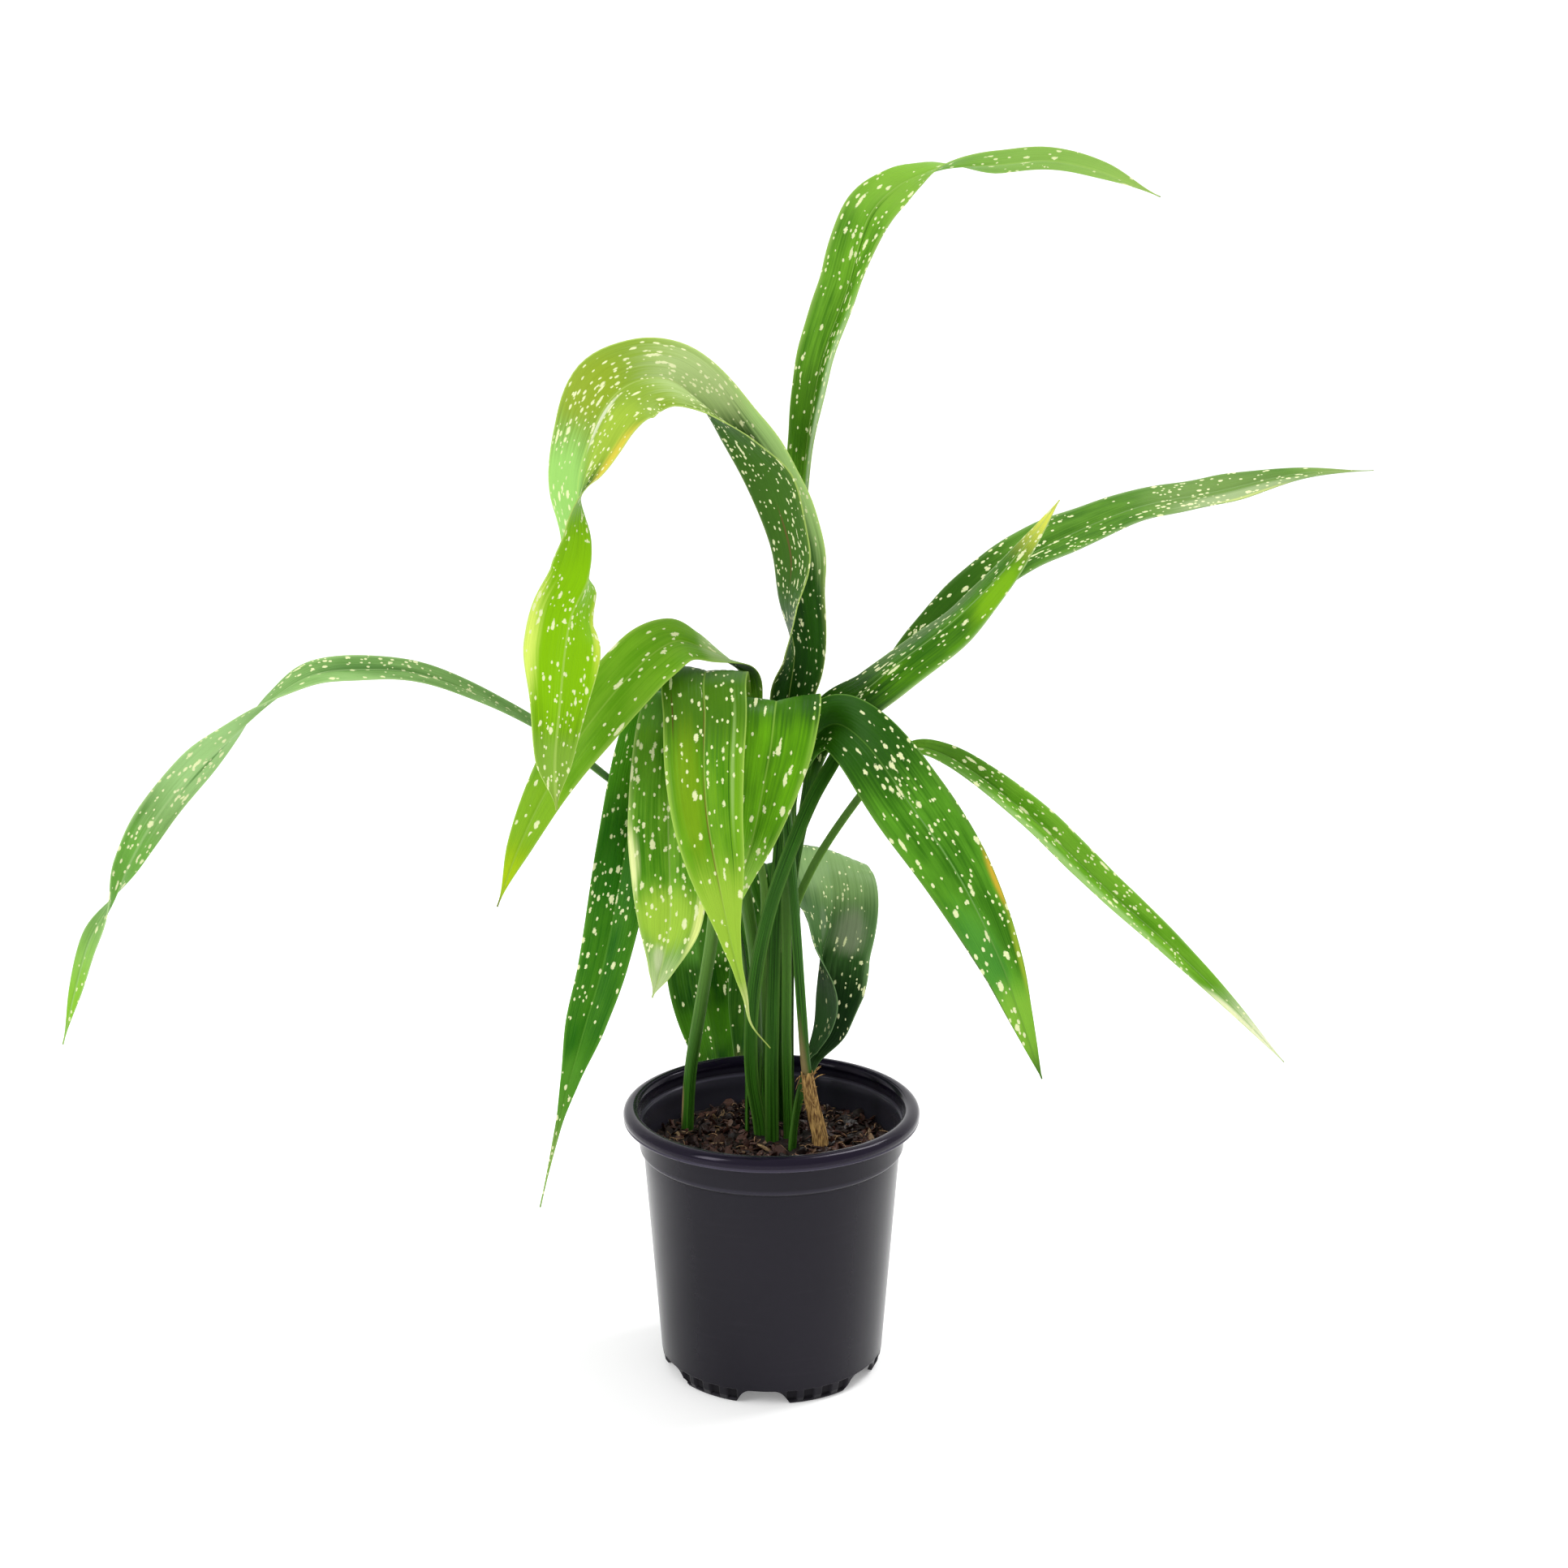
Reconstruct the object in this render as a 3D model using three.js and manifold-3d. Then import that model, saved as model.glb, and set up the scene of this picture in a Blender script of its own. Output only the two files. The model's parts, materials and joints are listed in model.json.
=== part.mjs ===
// A cast iron plant in a round plastic nursery pot.
// Millimetres, +Z up. The origin is the middle of the pot's foot ring, on the surface it stands on.
// The front view looks along +Y, with +X to the right.
import * as THREE from "three";
import { mergeVertices } from "three/addons/utils/BufferGeometryUtils.js";
import Module from "manifold-3d";

const wasm = await Module();
wasm.setup();

const RUNNING_GAP = 0.3; // clear space kept between pieces that touch
const ROUND = 60; // sides of the pot and the soil

// Pot
const RIM_RADIUS = 82.5;
const POT_HEIGHT = 152;
const FOOT_RADIUS = 59.6;
const FOOT_THICKNESS = 2.4;
const FLOOR_UNDERSIDE = 9.6;
const FLOOR_TOP = 11.2;
const FLOOR_RADIUS = 61;
const WALL_BASE_RADIUS = 62.6;
const SHOULDER_HEIGHT = 128;
const SHOULDER_RADIUS = 71.4;
const WALL_THICKNESS = 1.7;
const BAND_TOP = 142.5;
const BAND_RADIUS = 73.6;
const ARCH_COUNT = 6;
const FIRST_ARCH = -4.5; // degrees from the front
const ARCH_HEIGHT = 8.6;
const ARCH_HALF_WIDTH = 15;
const SLOT_ANGLES = [-15, -6, 4, 14]; // degrees from the middle of each foot
const SLOT = { width: 5, height: 6.6, depth: 1.2, bottom: 1.4 };

// Soil
const SOIL_HEIGHT = 128;
const SOIL_CLEARANCE = 0.45;
const SOIL_RINGS = 6;

// Rhizome, the creeping root stock that every leaf stands on
const FOOT_HEIGHT = 103;
const STOCK_HEIGHT = 93;
const STOCK_RADIUS = 6.5;
const BUD_RADIUS = 4.4;
const BUD_BOTTOM = 91;
const STOCK_RUNS = [
  [[8, -7], [4, 20], [2, 54]],
  [[1, 24], [-26, 28], [-52, 25]],
  [[3, 8], [16, 8], [31, 5]],
];

// Leaves
const EDGE_THICKNESS = 0.8;
const RIB_THICKNESS = 1.5;
const STALK_THICKNESS = 3.2;
const STALK_FOLD = 20;
const TIP_HALF_WIDTH = 1;
const LEAF_STEPS = 28;
const OPENING_WIDTH = 6; // how much wider than the stalk a blade is once it has its own fold and thickness
const BEND_WEIGHT = 22; // how much closer the steps lie where a leaf bends sharply

// Each leaf: heading is the way it arches, in degrees from +X towards +Y. stalk and width are half widths.
// blade is where the blade starts along the leaf's length, and belly is where along the blade it is widest.
// A spine point is x, y, z, then the blade's roll and the fold of each half, in degrees. Where the blade isn't
// a plain lance shape, each point has the half width there as well, in place of width, blade and belly.
const LEAVES = {
  leaf_tall: {
    heading: 0, stalk: 3.6, color: 0x2f7a1e,
    spine: [
      [6, 41, 103, -70, 20, 3.6], [6, 41, 128, -70, 20, 3.6], [5, 41, 172, -70, 20, 3.6],
      [10, 42, 257, -65, 20, 3.6], [12, 43, 337, -55, 25, 3.6], [15, 45, 423, -45, 28, 4.2],
      [18, 48, 498, -42, 28, 10.5], [27, 50, 554, -45, 26, 14.6], [41, 52, 594, -45, 30, 17.2],
      [53, 52, 633, -54, 12, 16], [67, 50, 647, -44, 6, 14.2], [79, 49, 653, -25, 6, 12.8],
      [91, 47, 657, -3, 6, 12.5], [119, 44, 659, 32, 6, 11], [146, 42, 661, 38, 6, 8.6],
      [174, 39, 655, 45, 6, 6.2], [204, 36, 642, 40, 6, 1],
    ],
  },
  leaf_arch: {
    heading: 180, stalk: 4, steps: 44, color: 0x5f9a24,
    spine: [
      [0, 6, 103, 80, 20, 4], [0, 6, 128, 80, 20, 4], [0, 9, 183, 80, 20, 4], [2, 14, 257, 80, 20, 4],
      [7, 18, 322, 78, 20, 5], [9, 21, 374, 70, 20, 12.5], [12, 20, 405, 34, 22, 21.5],
      [5, 17, 432, 26, 42, 28.5], [1, 13, 460, 15, 62, 28.5], [-11, 8, 492, 13, 70, 29],
      [-24, 3, 517, 22, 62, 24.5], [-36, -2, 537.5, 38, 42, 20.5], [-50, -8, 549.5, 50, 24, 21],
      [-65, -14, 551, 55, 10, 22.5], [-79.5, -22, 543.5, 56, 5, 26.5], [-91, -33, 524, 55, 2, 23.5],
      [-97, -45, 497, 36, 8, 21], [-91, -56, 474, 10, 40, 20.5], [-92, -65, 456, -38, 24, 20.5],
      [-99.5, -74, 439, -60, 17, 20.5], [-102, -81, 424.5, -70, 13, 20.5], [-104.5, -89, 398, -76, 12, 15],
      [-107, -97, 369, -76, 14, 10], [-106, -104, 346, -76, 12, 1],
    ],
  },
  leaf_right_high: {
    heading: 17, stalk: 4, color: 0x3b8a24,
    spine: [
      [-6, 16, 103, -60, 20, 4], [-6, 16, 128, -60, 20, 4], [-11, 14, 165, -60, 20, 4],
      [-10, 8, 212, -60, 20, 4], [-1, -4, 264, -60, 20, 4], [13, -11, 307, -60, 20, 4],
      [23, -5, 329, -55, 20, 4], [34, 5, 346, -50, 20, 4], [53, 26, 375, -40, 24, 4.2],
      [81, 40, 405, -34, 24, 9.4], [125, 60, 439, -30, 20, 15.3], [158, 74, 455, -28, 14, 17],
      [205, 90, 472, -28, 8, 13.6], [252, 104, 479.5, -28, 6, 12.8], [300, 114, 488.5, -25, 5, 6.2],
      [344, 120, 490, -20, 5, 1],
    ],
  },
  leaf_right_mid: {
    heading: 0, stalk: 3.6, width: 19, blade: 0.5, belly: 0.45, color: 0x3d9422,
    spine: [
      [10, 33, 103, -60, 20], [10, 33, 128, -60, 20], [10, 33, 216, -60, 20], [12, 33, 273, -60, 20],
      [18.5, 26, 312, -60, 20], [24, 14.5, 347, -50, 20], [33, 8, 370, -38, 6], [51, 3, 385.5, -28, -10],
      [66, 2, 398.5, -27, -14], [82, 1, 411, -27, -14], [98, 1, 424, -27, -14], [119, 2, 445, -29, -12],
      [140, 4, 470.5, -32, -6], [152, 6, 487, -35, 0],
    ],
  },
  leaf_right_droop: {
    heading: -15, stalk: 3.8, width: 20.5, blade: 0.44, belly: 0.42, color: 0x2f8a20,
    spine: [
      [10, 8, 103, -60, 20], [10, 8, 128, -60, 20], [9, 7, 181, -60, 20], [9, 7, 233, -60, 20],
      [9, 7, 279, -60, 20], [11, 8, 317, -60, 20], [16, 9, 343, -60, 20], [24, 4, 360, -60, 20],
      [35, -7, 369, -58, 16], [48, -19, 363, -60, 12], [72, -37, 334, -66, 8], [97, -50, 299, -70, 6],
      [120, -61, 254, -74, 6], [130, -66, 227, -76, 6], [142, -72, 193, -76, 6],
    ],
  },
  leaf_right_low: {
    heading: -5, stalk: 2.8, width: 10.6, blade: 0.45, belly: 0.42, color: 0x4c9a2a,
    spine: [
      [-8, 26, 103, -50, 20], [-8, 26, 128, -50, 20], [-7, 26, 167, -50, 20], [-5, 26, 202, -50, 20],
      [0, 22, 223, -50, 20], [8, 18, 246, -50, 20], [24, 20, 284, -50, 20], [47, 20, 320, -45, 20],
      [62, 18, 339, -40, 20], [78, 17, 350, -40, 22], [95, 17, 346, -45, 24], [135, 14, 318, -48, 24],
      [188, 7, 269, -52, 24], [217, 2, 244, -55, 20], [248, -5, 215, -60, 12], [281, -14, 181, -60, 8],
    ],
  },
  leaf_left_far: {
    heading: 205, stalk: 2.3, color: 0x5aa052,
    spine: [
      [-14, 22, 103, 40, 20, 2.3], [-14, 22, 128, 40, 20, 2.3], [-14, 21, 182, 40, 20, 2.3],
      [-17, 18, 240, 40, 20, 2.3], [-38, 5, 297, 40, 20, 2.3], [-83, -18, 339, 40, 20, 2.8],
      [-125, -42, 378, 40, 20, 4.5], [-175, -72, 408, 40, 18, 7.2], [-201, -88, 414, 40, 14, 8],
      [-224, -103, 414, 30, 12, 8.5], [-241, -112, 405, 0, 10, 8.5], [-259, -122, 390, -45, 10, 9],
      [-278, -130, 373, -80, 10, 9.4], [-297, -138, 350, -85, 10, 9.2], [-309, -142, 330, -70, 8, 8],
      [-319, -145, 309, -10, 6, 6.5], [-329, -147, 292, 40, 6, 5.4], [-337, -149, 268, 50, 6, 4],
      [-345, -150, 240, 50, 6, 1],
    ],
  },
  leaf_left_pale: {
    heading: 205, stalk: 3.6, color: 0x6fae2c,
    spine: [
      [9, 23, 103, 60, 20, 3.6], [9, 23, 128, 60, 20, 3.6], [8, 24, 195, 60, 20, 3.6],
      [7, 25, 267, 60, 20, 3.6], [4, 26, 317, 60, 20, 3.6], [1, 23, 346, 50, 20, 3.6],
      [-8.5, 14, 373, -10, 20, 5.5], [-14, 8, 393, -12, 16, 9.5], [-26, -1, 404, 10, 10, 11],
      [-37, -10, 411, 32, 6, 11], [-49, -20, 416, 42, 6, 14.5], [-63, -32, 410, 48, 6, 17],
      [-89, -51, 384, 55, 6, 16], [-111, -64, 353, 60, 6, 11.5], [-128, -77, 320, 60, 6, 6.5],
      [-139, -86, 291, 60, 6, 1],
    ],
  },
  leaf_left_dark: {
    heading: 235, stalk: 3.4, color: 0x2c7a1c,
    spine: [
      [-2, 21, 103, 20, 20, 3.4], [-2, 21, 128, 20, 20, 3.4], [-4, 20, 183, 20, 20, 3.4],
      [-5, 20, 231, 20, 20, 3.4], [-5, 22, 274, 20, 20, 3.4], [-14, 22, 308, 20, 20, 3.4],
      [-35, 17, 346, 20, 20, 3.6], [-50, 16, 373, 25, 16, 7.2], [-58, 9, 382, 30, 14, 9.6],
      [-64, -3, 375, 30, 12, 11.6], [-69, -17, 355, 30, 10, 13.8], [-76, -44, 309, 30, 8, 15.4],
      [-87, -69, 254, 30, 8, 12.8], [-95, -82, 228, 30, 8, 10.6], [-103.5, -94, 199, 30, 6, 4.6],
      [-109, -102, 178, 30, 6, 1.7], [-118, -114, 139, 30, 6, 1],
    ],
  },
  leaf_front_yellow: {
    heading: -95, stalk: 3.6, color: 0x69aa28,
    spine: [
      [-2, 35, 103, 0, 20, 3.6], [-2, 35, 128, 0, 20, 3.6], [-6, 35, 180, 0, 20, 3.6],
      [-10, 32, 230, 0, 20, 3.6], [-15, 22, 268, 0, 20, 3.8], [-19, 11, 304, 0, 20, 5],
      [-28, 2, 339, 0, 20, 9], [-40, -14, 370, 0, 14, 12.5], [-46.5, -20, 385, 0, 10, 14.5],
      [-51, -29, 379, 0, 6, 17], [-53, -43, 352, 0, 4, 19.5], [-53, -54, 324, 0, 4, 21],
      [-52, -64, 297, 0, 4, 19.5], [-52, -71, 277, 0, 6, 16.5], [-57, -79, 253, 0, 12, 6.5],
      [-61, -82, 241, 0, 14, 1],
    ],
  },
  leaf_front_centre: {
    heading: -90, stalk: 3.6, color: 0x74a82c,
    spine: [
      [-48, 25, 103, 0, 20, 3.6], [-48, 25, 128, 0, 20, 3.6], [-46, 27, 161, 0, 20, 3.6],
      [-40, 28, 199, 0, 20, 3.6], [-33, 28, 243, 0, 20, 3.6], [-28, 27, 312, 0, 20, 5.5],
      [-25, 22, 350, 0, 18, 12], [-28, 11, 376, 3, 12, 17.5], [-32, -1, 392, 6, 6, 20.5],
      [-34, -14, 399, 6, 3, 21.8], [-35, -28, 395, 3, 3, 22], [-34, -42, 382, 0, 3, 21.5],
      [-34, -58, 358, 0, 4, 20.3], [-32, -70, 333, 0, 5, 18], [-28, -80, 312, 0, 6, 14.8],
      [-20, -94, 275, 0, 12, 5.2], [-16, -99, 260, 0, 20, 2.6], [-13, -102, 248, 40, 20, 2],
      [-10, -105, 235, 60, 20, 1.5], [0, -108, 223, 60, 20, 1],
    ],
  },
  leaf_front_right: {
    heading: -80, stalk: 2.8, width: 23.5, blade: 0.56, belly: 0.36, color: 0x5fa81c,
    spine: [
      [27, 1, 103, 0, 20], [27, 1, 128, 0, 20], [20, 2, 166, 0, 20], [17, 2, 202, 0, 20],
      [14, 0, 247, 0, 20], [11, -2, 289, 0, 20], [8, -3, 322, 0, 20], [5, -5, 352, 0, 14],
      [3, -10, 373, 0, 8], [3, -20, 384, 0, 4], [2, -31, 380, 0, 4], [0, -40, 364, 0, 4],
      [-4, -47, 344, 0, 4], [-9, -53, 320, 0, 4], [-15, -58, 299, 0, 5], [-20, -62, 278, 0, 6],
    ],
  },
  leaf_back_right: {
    heading: 85, stalk: 3.6, color: 0x1f5a22,
    spine: [
      [11, -6, 103, -60, 20, 3.6], [11, -6, 128, -60, 20, 3.6], [13, 0, 145, -64, 30, 3.6],
      [19.4, 19, 170, -66, 62, 7.6], [24.5, 27, 188, -64, 62, 20], [26, 35, 206, -60, 54, 27],
      [28.5, 44, 224, -46, 38, 27.5], [33, 54, 239, -34, 26, 27], [34, 64, 255, -26, 12, 27],
      [32, 76, 267, -18, 0, 26.5], [30, 92, 273, -14, -8, 25], [29, 108, 266, -10, -8, 22],
      [28, 123, 249, -4, 0, 17], [27, 134, 225, 0, 6, 9.5], [26, 142, 197, 0, 6, 1],
    ],
  },
  leaf_back_left: {
    heading: 95, stalk: 3.6, width: 21, blade: 0.3, belly: 0.68, color: 0x1e5a14,
    spine: [
      [-6, 51, 103, 0, 20], [-6, 51, 128, 0, 20], [-7, 54, 152, 0, 20], [-11, 60, 193, 0, 20],
      [-22, 72, 243, 0, 18], [-33, 86, 278, 0, 12], [-40, 98, 287, 0, 8], [-44, 112, 273, 0, 6],
      [-45, 124, 243, 0, 6], [-45, 131, 210, 0, 6], [-43, 135, 181, 0, 6], [-36, 139, 135, 0, 6],
      [-30, 140, 92, 0, 6],
    ],
  },
  leaf_back_centre: {
    heading: 90, stalk: 3.6, width: 20.5, blade: 0.34, belly: 0.5, color: 0x2c6e1c,
    spine: [
      [8, 53, 103, 0, 20], [8, 53, 128, 0, 20], [7, 57, 167, 0, 20], [4, 64, 207, 0, 20],
      [0, 77, 247, 0, 16], [-3, 92, 264, 0, 8], [-4, 104, 253, 0, 6], [-4, 112, 228, 0, 6],
      [-7, 117, 195, 0, 6], [-12, 119, 171, 0, 6], [-15, 120, 151, 0, 6], [-21, 121, 115, 0, 6],
    ],
  },
};

// Dead sheath, dry and frayed, round the stalk of the front right leaf
const SHEATH = { leaf: "leaf_front_right", radius: 4.3, thickness: 0.8, top: 171, ragged: 4, steps: 9, sides: 9 };

const POT_PLASTIC = new THREE.MeshStandardMaterial({ color: 0x2b292d, roughness: 0.45 });
const POTTING_SOIL = new THREE.MeshStandardMaterial({ color: 0x2e1d15, roughness: 0.95 });
const ROOT = new THREE.MeshStandardMaterial({ color: 0xb39a6a, roughness: 0.8 });
const DRY_SHEATH = new THREE.MeshStandardMaterial({ color: 0xa88450, roughness: 0.85 });

const radians = THREE.MathUtils.degToRad;
const clamp = THREE.MathUtils.clamp;
const lerp = THREE.MathUtils.lerp;
const smoothstep = THREE.MathUtils.smoothstep;

// A closed geometry as a solid that can be joined and cut.
function solidOf(geometry) {
  const bare = geometry.clone();
  bare.deleteAttribute("normal");
  bare.deleteAttribute("uv");
  const merged = mergeVertices(bare, 1e-4);
  return new wasm.Manifold(
    new wasm.Mesh({
      numProp: 3,
      vertProperties: new Float32Array(merged.attributes.position.array),
      triVerts: new Uint32Array(merged.index.array),
    }),
  );
}

function geometryOf(solid) {
  const mesh = solid.getMesh();
  const geometry = new THREE.BufferGeometry();
  geometry.setAttribute("position", new THREE.BufferAttribute(mesh.vertProperties, 3));
  geometry.setIndex(new THREE.BufferAttribute(mesh.triVerts, 1));
  geometry.computeVertexNormals();
  return geometry;
}

function named(name, geometry, material) {
  const mesh = new THREE.Mesh(geometry, material);
  mesh.name = name;
  return mesh;
}

// A closed surface through rings of points that all have the same count, with a fan over each end.
function loft(rings) {
  const count = rings[0].length;
  const points = rings.flat();
  const faces = [];
  for (let i = 0; i + 1 < rings.length; i++) {
    for (let j = 0; j < count; j++) {
      const a = i * count + j;
      const b = i * count + ((j + 1) % count);
      const mirrored = j >= count / 2;
      if (mirrored) faces.push(a, b, a + count, b, b + count, a + count);
      else faces.push(a, b, b + count, a, b + count, a + count);
    }
  }
  const last = points.length - count;
  for (let j = 1; j + 1 < count; j++) {
    faces.push(0, j + 1, j);
    faces.push(last, last + j, last + j + 1);
  }
  const geometry = new THREE.BufferGeometry().setFromPoints(points);
  geometry.setIndex(faces);
  geometry.computeVertexNormals();
  return geometry;
}

// A solid of revolution about Z through [radius, height] points.
function turned(profile) {
  const points = profile.map(([radius, height]) => new THREE.Vector2(radius, height));
  return new THREE.LatheGeometry(points, ROUND).rotateX(Math.PI / 2);
}

// Turns a geometry made facing +Y at the front so that it faces out of the pot at an angle from the front.
function facingOut(geometry, degrees) {
  return geometry.rotateZ(radians(degrees));
}

// The leaf's spine, sampled so that the steps lie closer where it bends.
function spineSamples(leaf) {
  const points = leaf.spine.map(([x, y, z]) => new THREE.Vector3(x, y, z));
  const curve = new THREE.CatmullRomCurve3(points, false, "centripetal");
  const FINE = 600;
  const fine = [];
  for (let i = 0; i <= FINE; i++) fine.push(curve.getPoint(i / FINE));
  const length = [0];
  const effort = [0];
  for (let i = 1; i <= FINE; i++) {
    const step = fine[i].distanceTo(fine[i - 1]);
    const before = fine[i].clone().sub(fine[i - 1]);
    const after = fine[Math.min(i + 1, FINE)].clone().sub(fine[Math.min(i, FINE - 1)]);
    const bend = before.angleTo(after);
    length.push(length[i - 1] + step);
    effort.push(effort[i - 1] + step + BEND_WEIGHT * bend);
  }
  const side = new THREE.Vector3(Math.sin(radians(leaf.heading)), -Math.cos(radians(leaf.heading)), 0);
  const samples = [];
  let at = 0;
  const steps = leaf.steps ?? LEAF_STEPS;
  for (let k = 0; k <= steps; k++) {
    const target = (effort[FINE] * k) / steps;
    while (at < FINE && effort[at] < target) at++;
    const tangent = fine[Math.min(at + 1, FINE)].clone().sub(fine[Math.max(at - 1, 0)]).normalize();
    const place = (at / FINE) * (leaf.spine.length - 1);
    const from = Math.min(Math.floor(place), leaf.spine.length - 2);
    const share = smoothstep(place - from, 0, 1);
    const [roll, fold, given] = [3, 4, 5].map((c) => lerp(leaf.spine[from][c], leaf.spine[from + 1][c], share));
    const flat = side.clone().addScaledVector(tangent, -side.dot(tangent)).normalize();
    const across = flat.applyAxisAngle(tangent, -radians(roll));
    const up = across.clone().cross(tangent);
    const along = length[at] / length[FINE];
    const half = leaf.width ? lanceHalfWidth(leaf, along) : given;
    samples.push({ centre: fine[at], across, up, fold, half, along });
  }
  return samples;
}

// Half the width of the leaf at a share of its length: a stalk, then a lance-shaped blade to a sharp tip.
function lanceHalfWidth(leaf, along) {
  const share = clamp((along - leaf.blade) / (1 - leaf.blade), 0, 1);
  const blade = leaf.width * Math.sin(Math.PI * share ** (Math.log(0.5) / Math.log(leaf.belly)));
  const stalk = along < leaf.blade + (1 - leaf.blade) * leaf.belly ? leaf.stalk : TIP_HALF_WIDTH;
  return Math.max(blade, stalk);
}

// A leaf with its stalk: a gutter-shaped stalk that opens into a thin blade folded along its rib.
function leafGeometry(leaf) {
  const stations = [-1, -0.5, 0, 0.5, 1];
  const rings = spineSamples(leaf).map(({ centre, across, up, fold, half, along }) => {
    const opened = clamp((half - leaf.stalk) / OPENING_WIDTH, smoothstep(along, 0.7, 0.86), 1);
    const point = (s, face) => {
      const reach = Math.abs(s);
      const lift = radians(lerp(STALK_FOLD, fold, opened)) * (1.25 - 0.25 * reach);
      const rib = lerp(STALK_THICKNESS, RIB_THICKNESS, opened);
      const thickness = lerp(rib, EDGE_THICKNESS, reach ** lerp(2, 0.7, opened));
      const outward = Math.sign(s);
      const sideways = half * s * Math.cos(lift) - face * 0.5 * thickness * outward * Math.sin(lift);
      const upward = half * reach * Math.sin(lift) + face * 0.5 * thickness * Math.cos(lift);
      return centre.clone().addScaledVector(across, sideways).addScaledVector(up, upward);
    };
    return [...stations.map((s) => point(s, 1)), ...stations.toReversed().map((s) => point(s, -1))];
  });
  return loft(rings);
}

function leafMesh([name, leaf]) {
  const material = new THREE.MeshStandardMaterial({ color: leaf.color, roughness: 0.42 });
  return named(name, leafGeometry(leaf), material);
}

// Pot: one moulded wall with a rolled rim, a band under it, a raised floor and a foot ring on six feet
function potProfile() {
  const inside = SHOULDER_RADIUS - WALL_THICKNESS;
  const bandInside = BAND_RADIUS - WALL_THICKNESS;
  return [
    [0, FLOOR_UNDERSIDE],
    [FOOT_RADIUS - 1.4, FLOOR_UNDERSIDE],
    [FOOT_RADIUS - FOOT_THICKNESS, 0],
    [FOOT_RADIUS, 0],
    [FOOT_RADIUS + 2, 3.6],
    [WALL_BASE_RADIUS, FLOOR_UNDERSIDE - 0.6],
    [SHOULDER_RADIUS, SHOULDER_HEIGHT - 1],
    [BAND_RADIUS - 0.8, SHOULDER_HEIGHT - 0.6],
    [BAND_RADIUS - 0.1, SHOULDER_HEIGHT + 0.8],
    [BAND_RADIUS, SHOULDER_HEIGHT + 3],
    [BAND_RADIUS + 0.2, BAND_TOP],
    [RIM_RADIUS - 3, BAND_TOP + 1.6],
    [RIM_RADIUS - 0.5, BAND_TOP + 2.7],
    [RIM_RADIUS, POT_HEIGHT - 5.4],
    [RIM_RADIUS - 0.8, POT_HEIGHT - 2.6],
    [RIM_RADIUS - 2.8, POT_HEIGHT - 0.6],
    [RIM_RADIUS - 4.8, POT_HEIGHT],
    [RIM_RADIUS - 7, POT_HEIGHT - 0.6],
    [RIM_RADIUS - 8.4, POT_HEIGHT - 2.4],
    [bandInside + 1.2, BAND_TOP + 1],
    [bandInside, BAND_TOP - 0.4],
    [bandInside - 1, SHOULDER_HEIGHT + 1],
    [inside, SHOULDER_HEIGHT - 1],
    [FLOOR_RADIUS, FLOOR_TOP],
    [0, FLOOR_TOP],
  ];
}

// The opening between two feet, cut outward through the foot ring under the floor
function archCutter(degrees) {
  const outline = new THREE.Shape();
  outline.moveTo(-ARCH_HALF_WIDTH, -1);
  outline.lineTo(-ARCH_HALF_WIDTH + 2.6, ARCH_HEIGHT * 0.45);
  outline.quadraticCurveTo(-ARCH_HALF_WIDTH + 5, ARCH_HEIGHT, -ARCH_HALF_WIDTH + 9, ARCH_HEIGHT);
  outline.lineTo(ARCH_HALF_WIDTH - 9, ARCH_HEIGHT);
  outline.quadraticCurveTo(ARCH_HALF_WIDTH - 5, ARCH_HEIGHT, ARCH_HALF_WIDTH - 2.6, ARCH_HEIGHT * 0.45);
  outline.lineTo(ARCH_HALF_WIDTH, -1);
  const depth = WALL_BASE_RADIUS + 4 - (FOOT_RADIUS - 14);
  const cutter = new THREE.ExtrudeGeometry(outline, { depth, bevelEnabled: false, curveSegments: 4 });
  return facingOut(cutter.rotateX(Math.PI / 2).translate(0, -(FOOT_RADIUS - 14), 0), degrees);
}

// A shallow upright slot in the face of a foot
function slotCutter(degrees) {
  const slot = new THREE.BoxGeometry(SLOT.width, 6, SLOT.height);
  const face = FOOT_RADIUS + 2 - SLOT.depth;
  return facingOut(slot.translate(0, -face - 3, SLOT.bottom + SLOT.height / 2), degrees);
}

function potMesh() {
  let solid = solidOf(turned(potProfile()));
  for (let k = 0; k < ARCH_COUNT; k++) {
    const arch = FIRST_ARCH + (360 / ARCH_COUNT) * k;
    solid = solid.subtract(solidOf(archCutter(arch)));
    for (const angle of SLOT_ANGLES) {
      solid = solid.subtract(solidOf(slotCutter(arch + 180 / ARCH_COUNT + angle)));
    }
  }
  return named("pot", geometryOf(solid), POT_PLASTIC);
}

// Rhizome: rods just under the stalks, with a bud of growth up to each stalk
function stockSolid(extra) {
  const outline = new THREE.Shape().absarc(0, 0, STOCK_RADIUS + extra, 0, 2 * Math.PI);
  let solid = null;
  for (const run of STOCK_RUNS) {
    const path = new THREE.CatmullRomCurve3(run.map(([x, y]) => new THREE.Vector3(x, y, STOCK_HEIGHT)));
    const rod = solidOf(
      new THREE.ExtrudeGeometry(outline, { steps: 3, curveSegments: 3, bevelEnabled: false, extrudePath: path }),
    );
    solid = solid ? solid.add(rod) : rod;
  }
  for (const { spine } of Object.values(LEAVES)) {
    const [x, y] = spine[0];
    const top = FOOT_HEIGHT - RUNNING_GAP;
    const bud = new THREE.CylinderGeometry(BUD_RADIUS + extra, BUD_RADIUS + extra + 0.6, top - BUD_BOTTOM, 6);
    solid = solid.add(solidOf(bud.rotateX(Math.PI / 2).translate(x, y, (top + BUD_BOTTOM) / 2)));
  }
  return solid;
}

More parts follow.
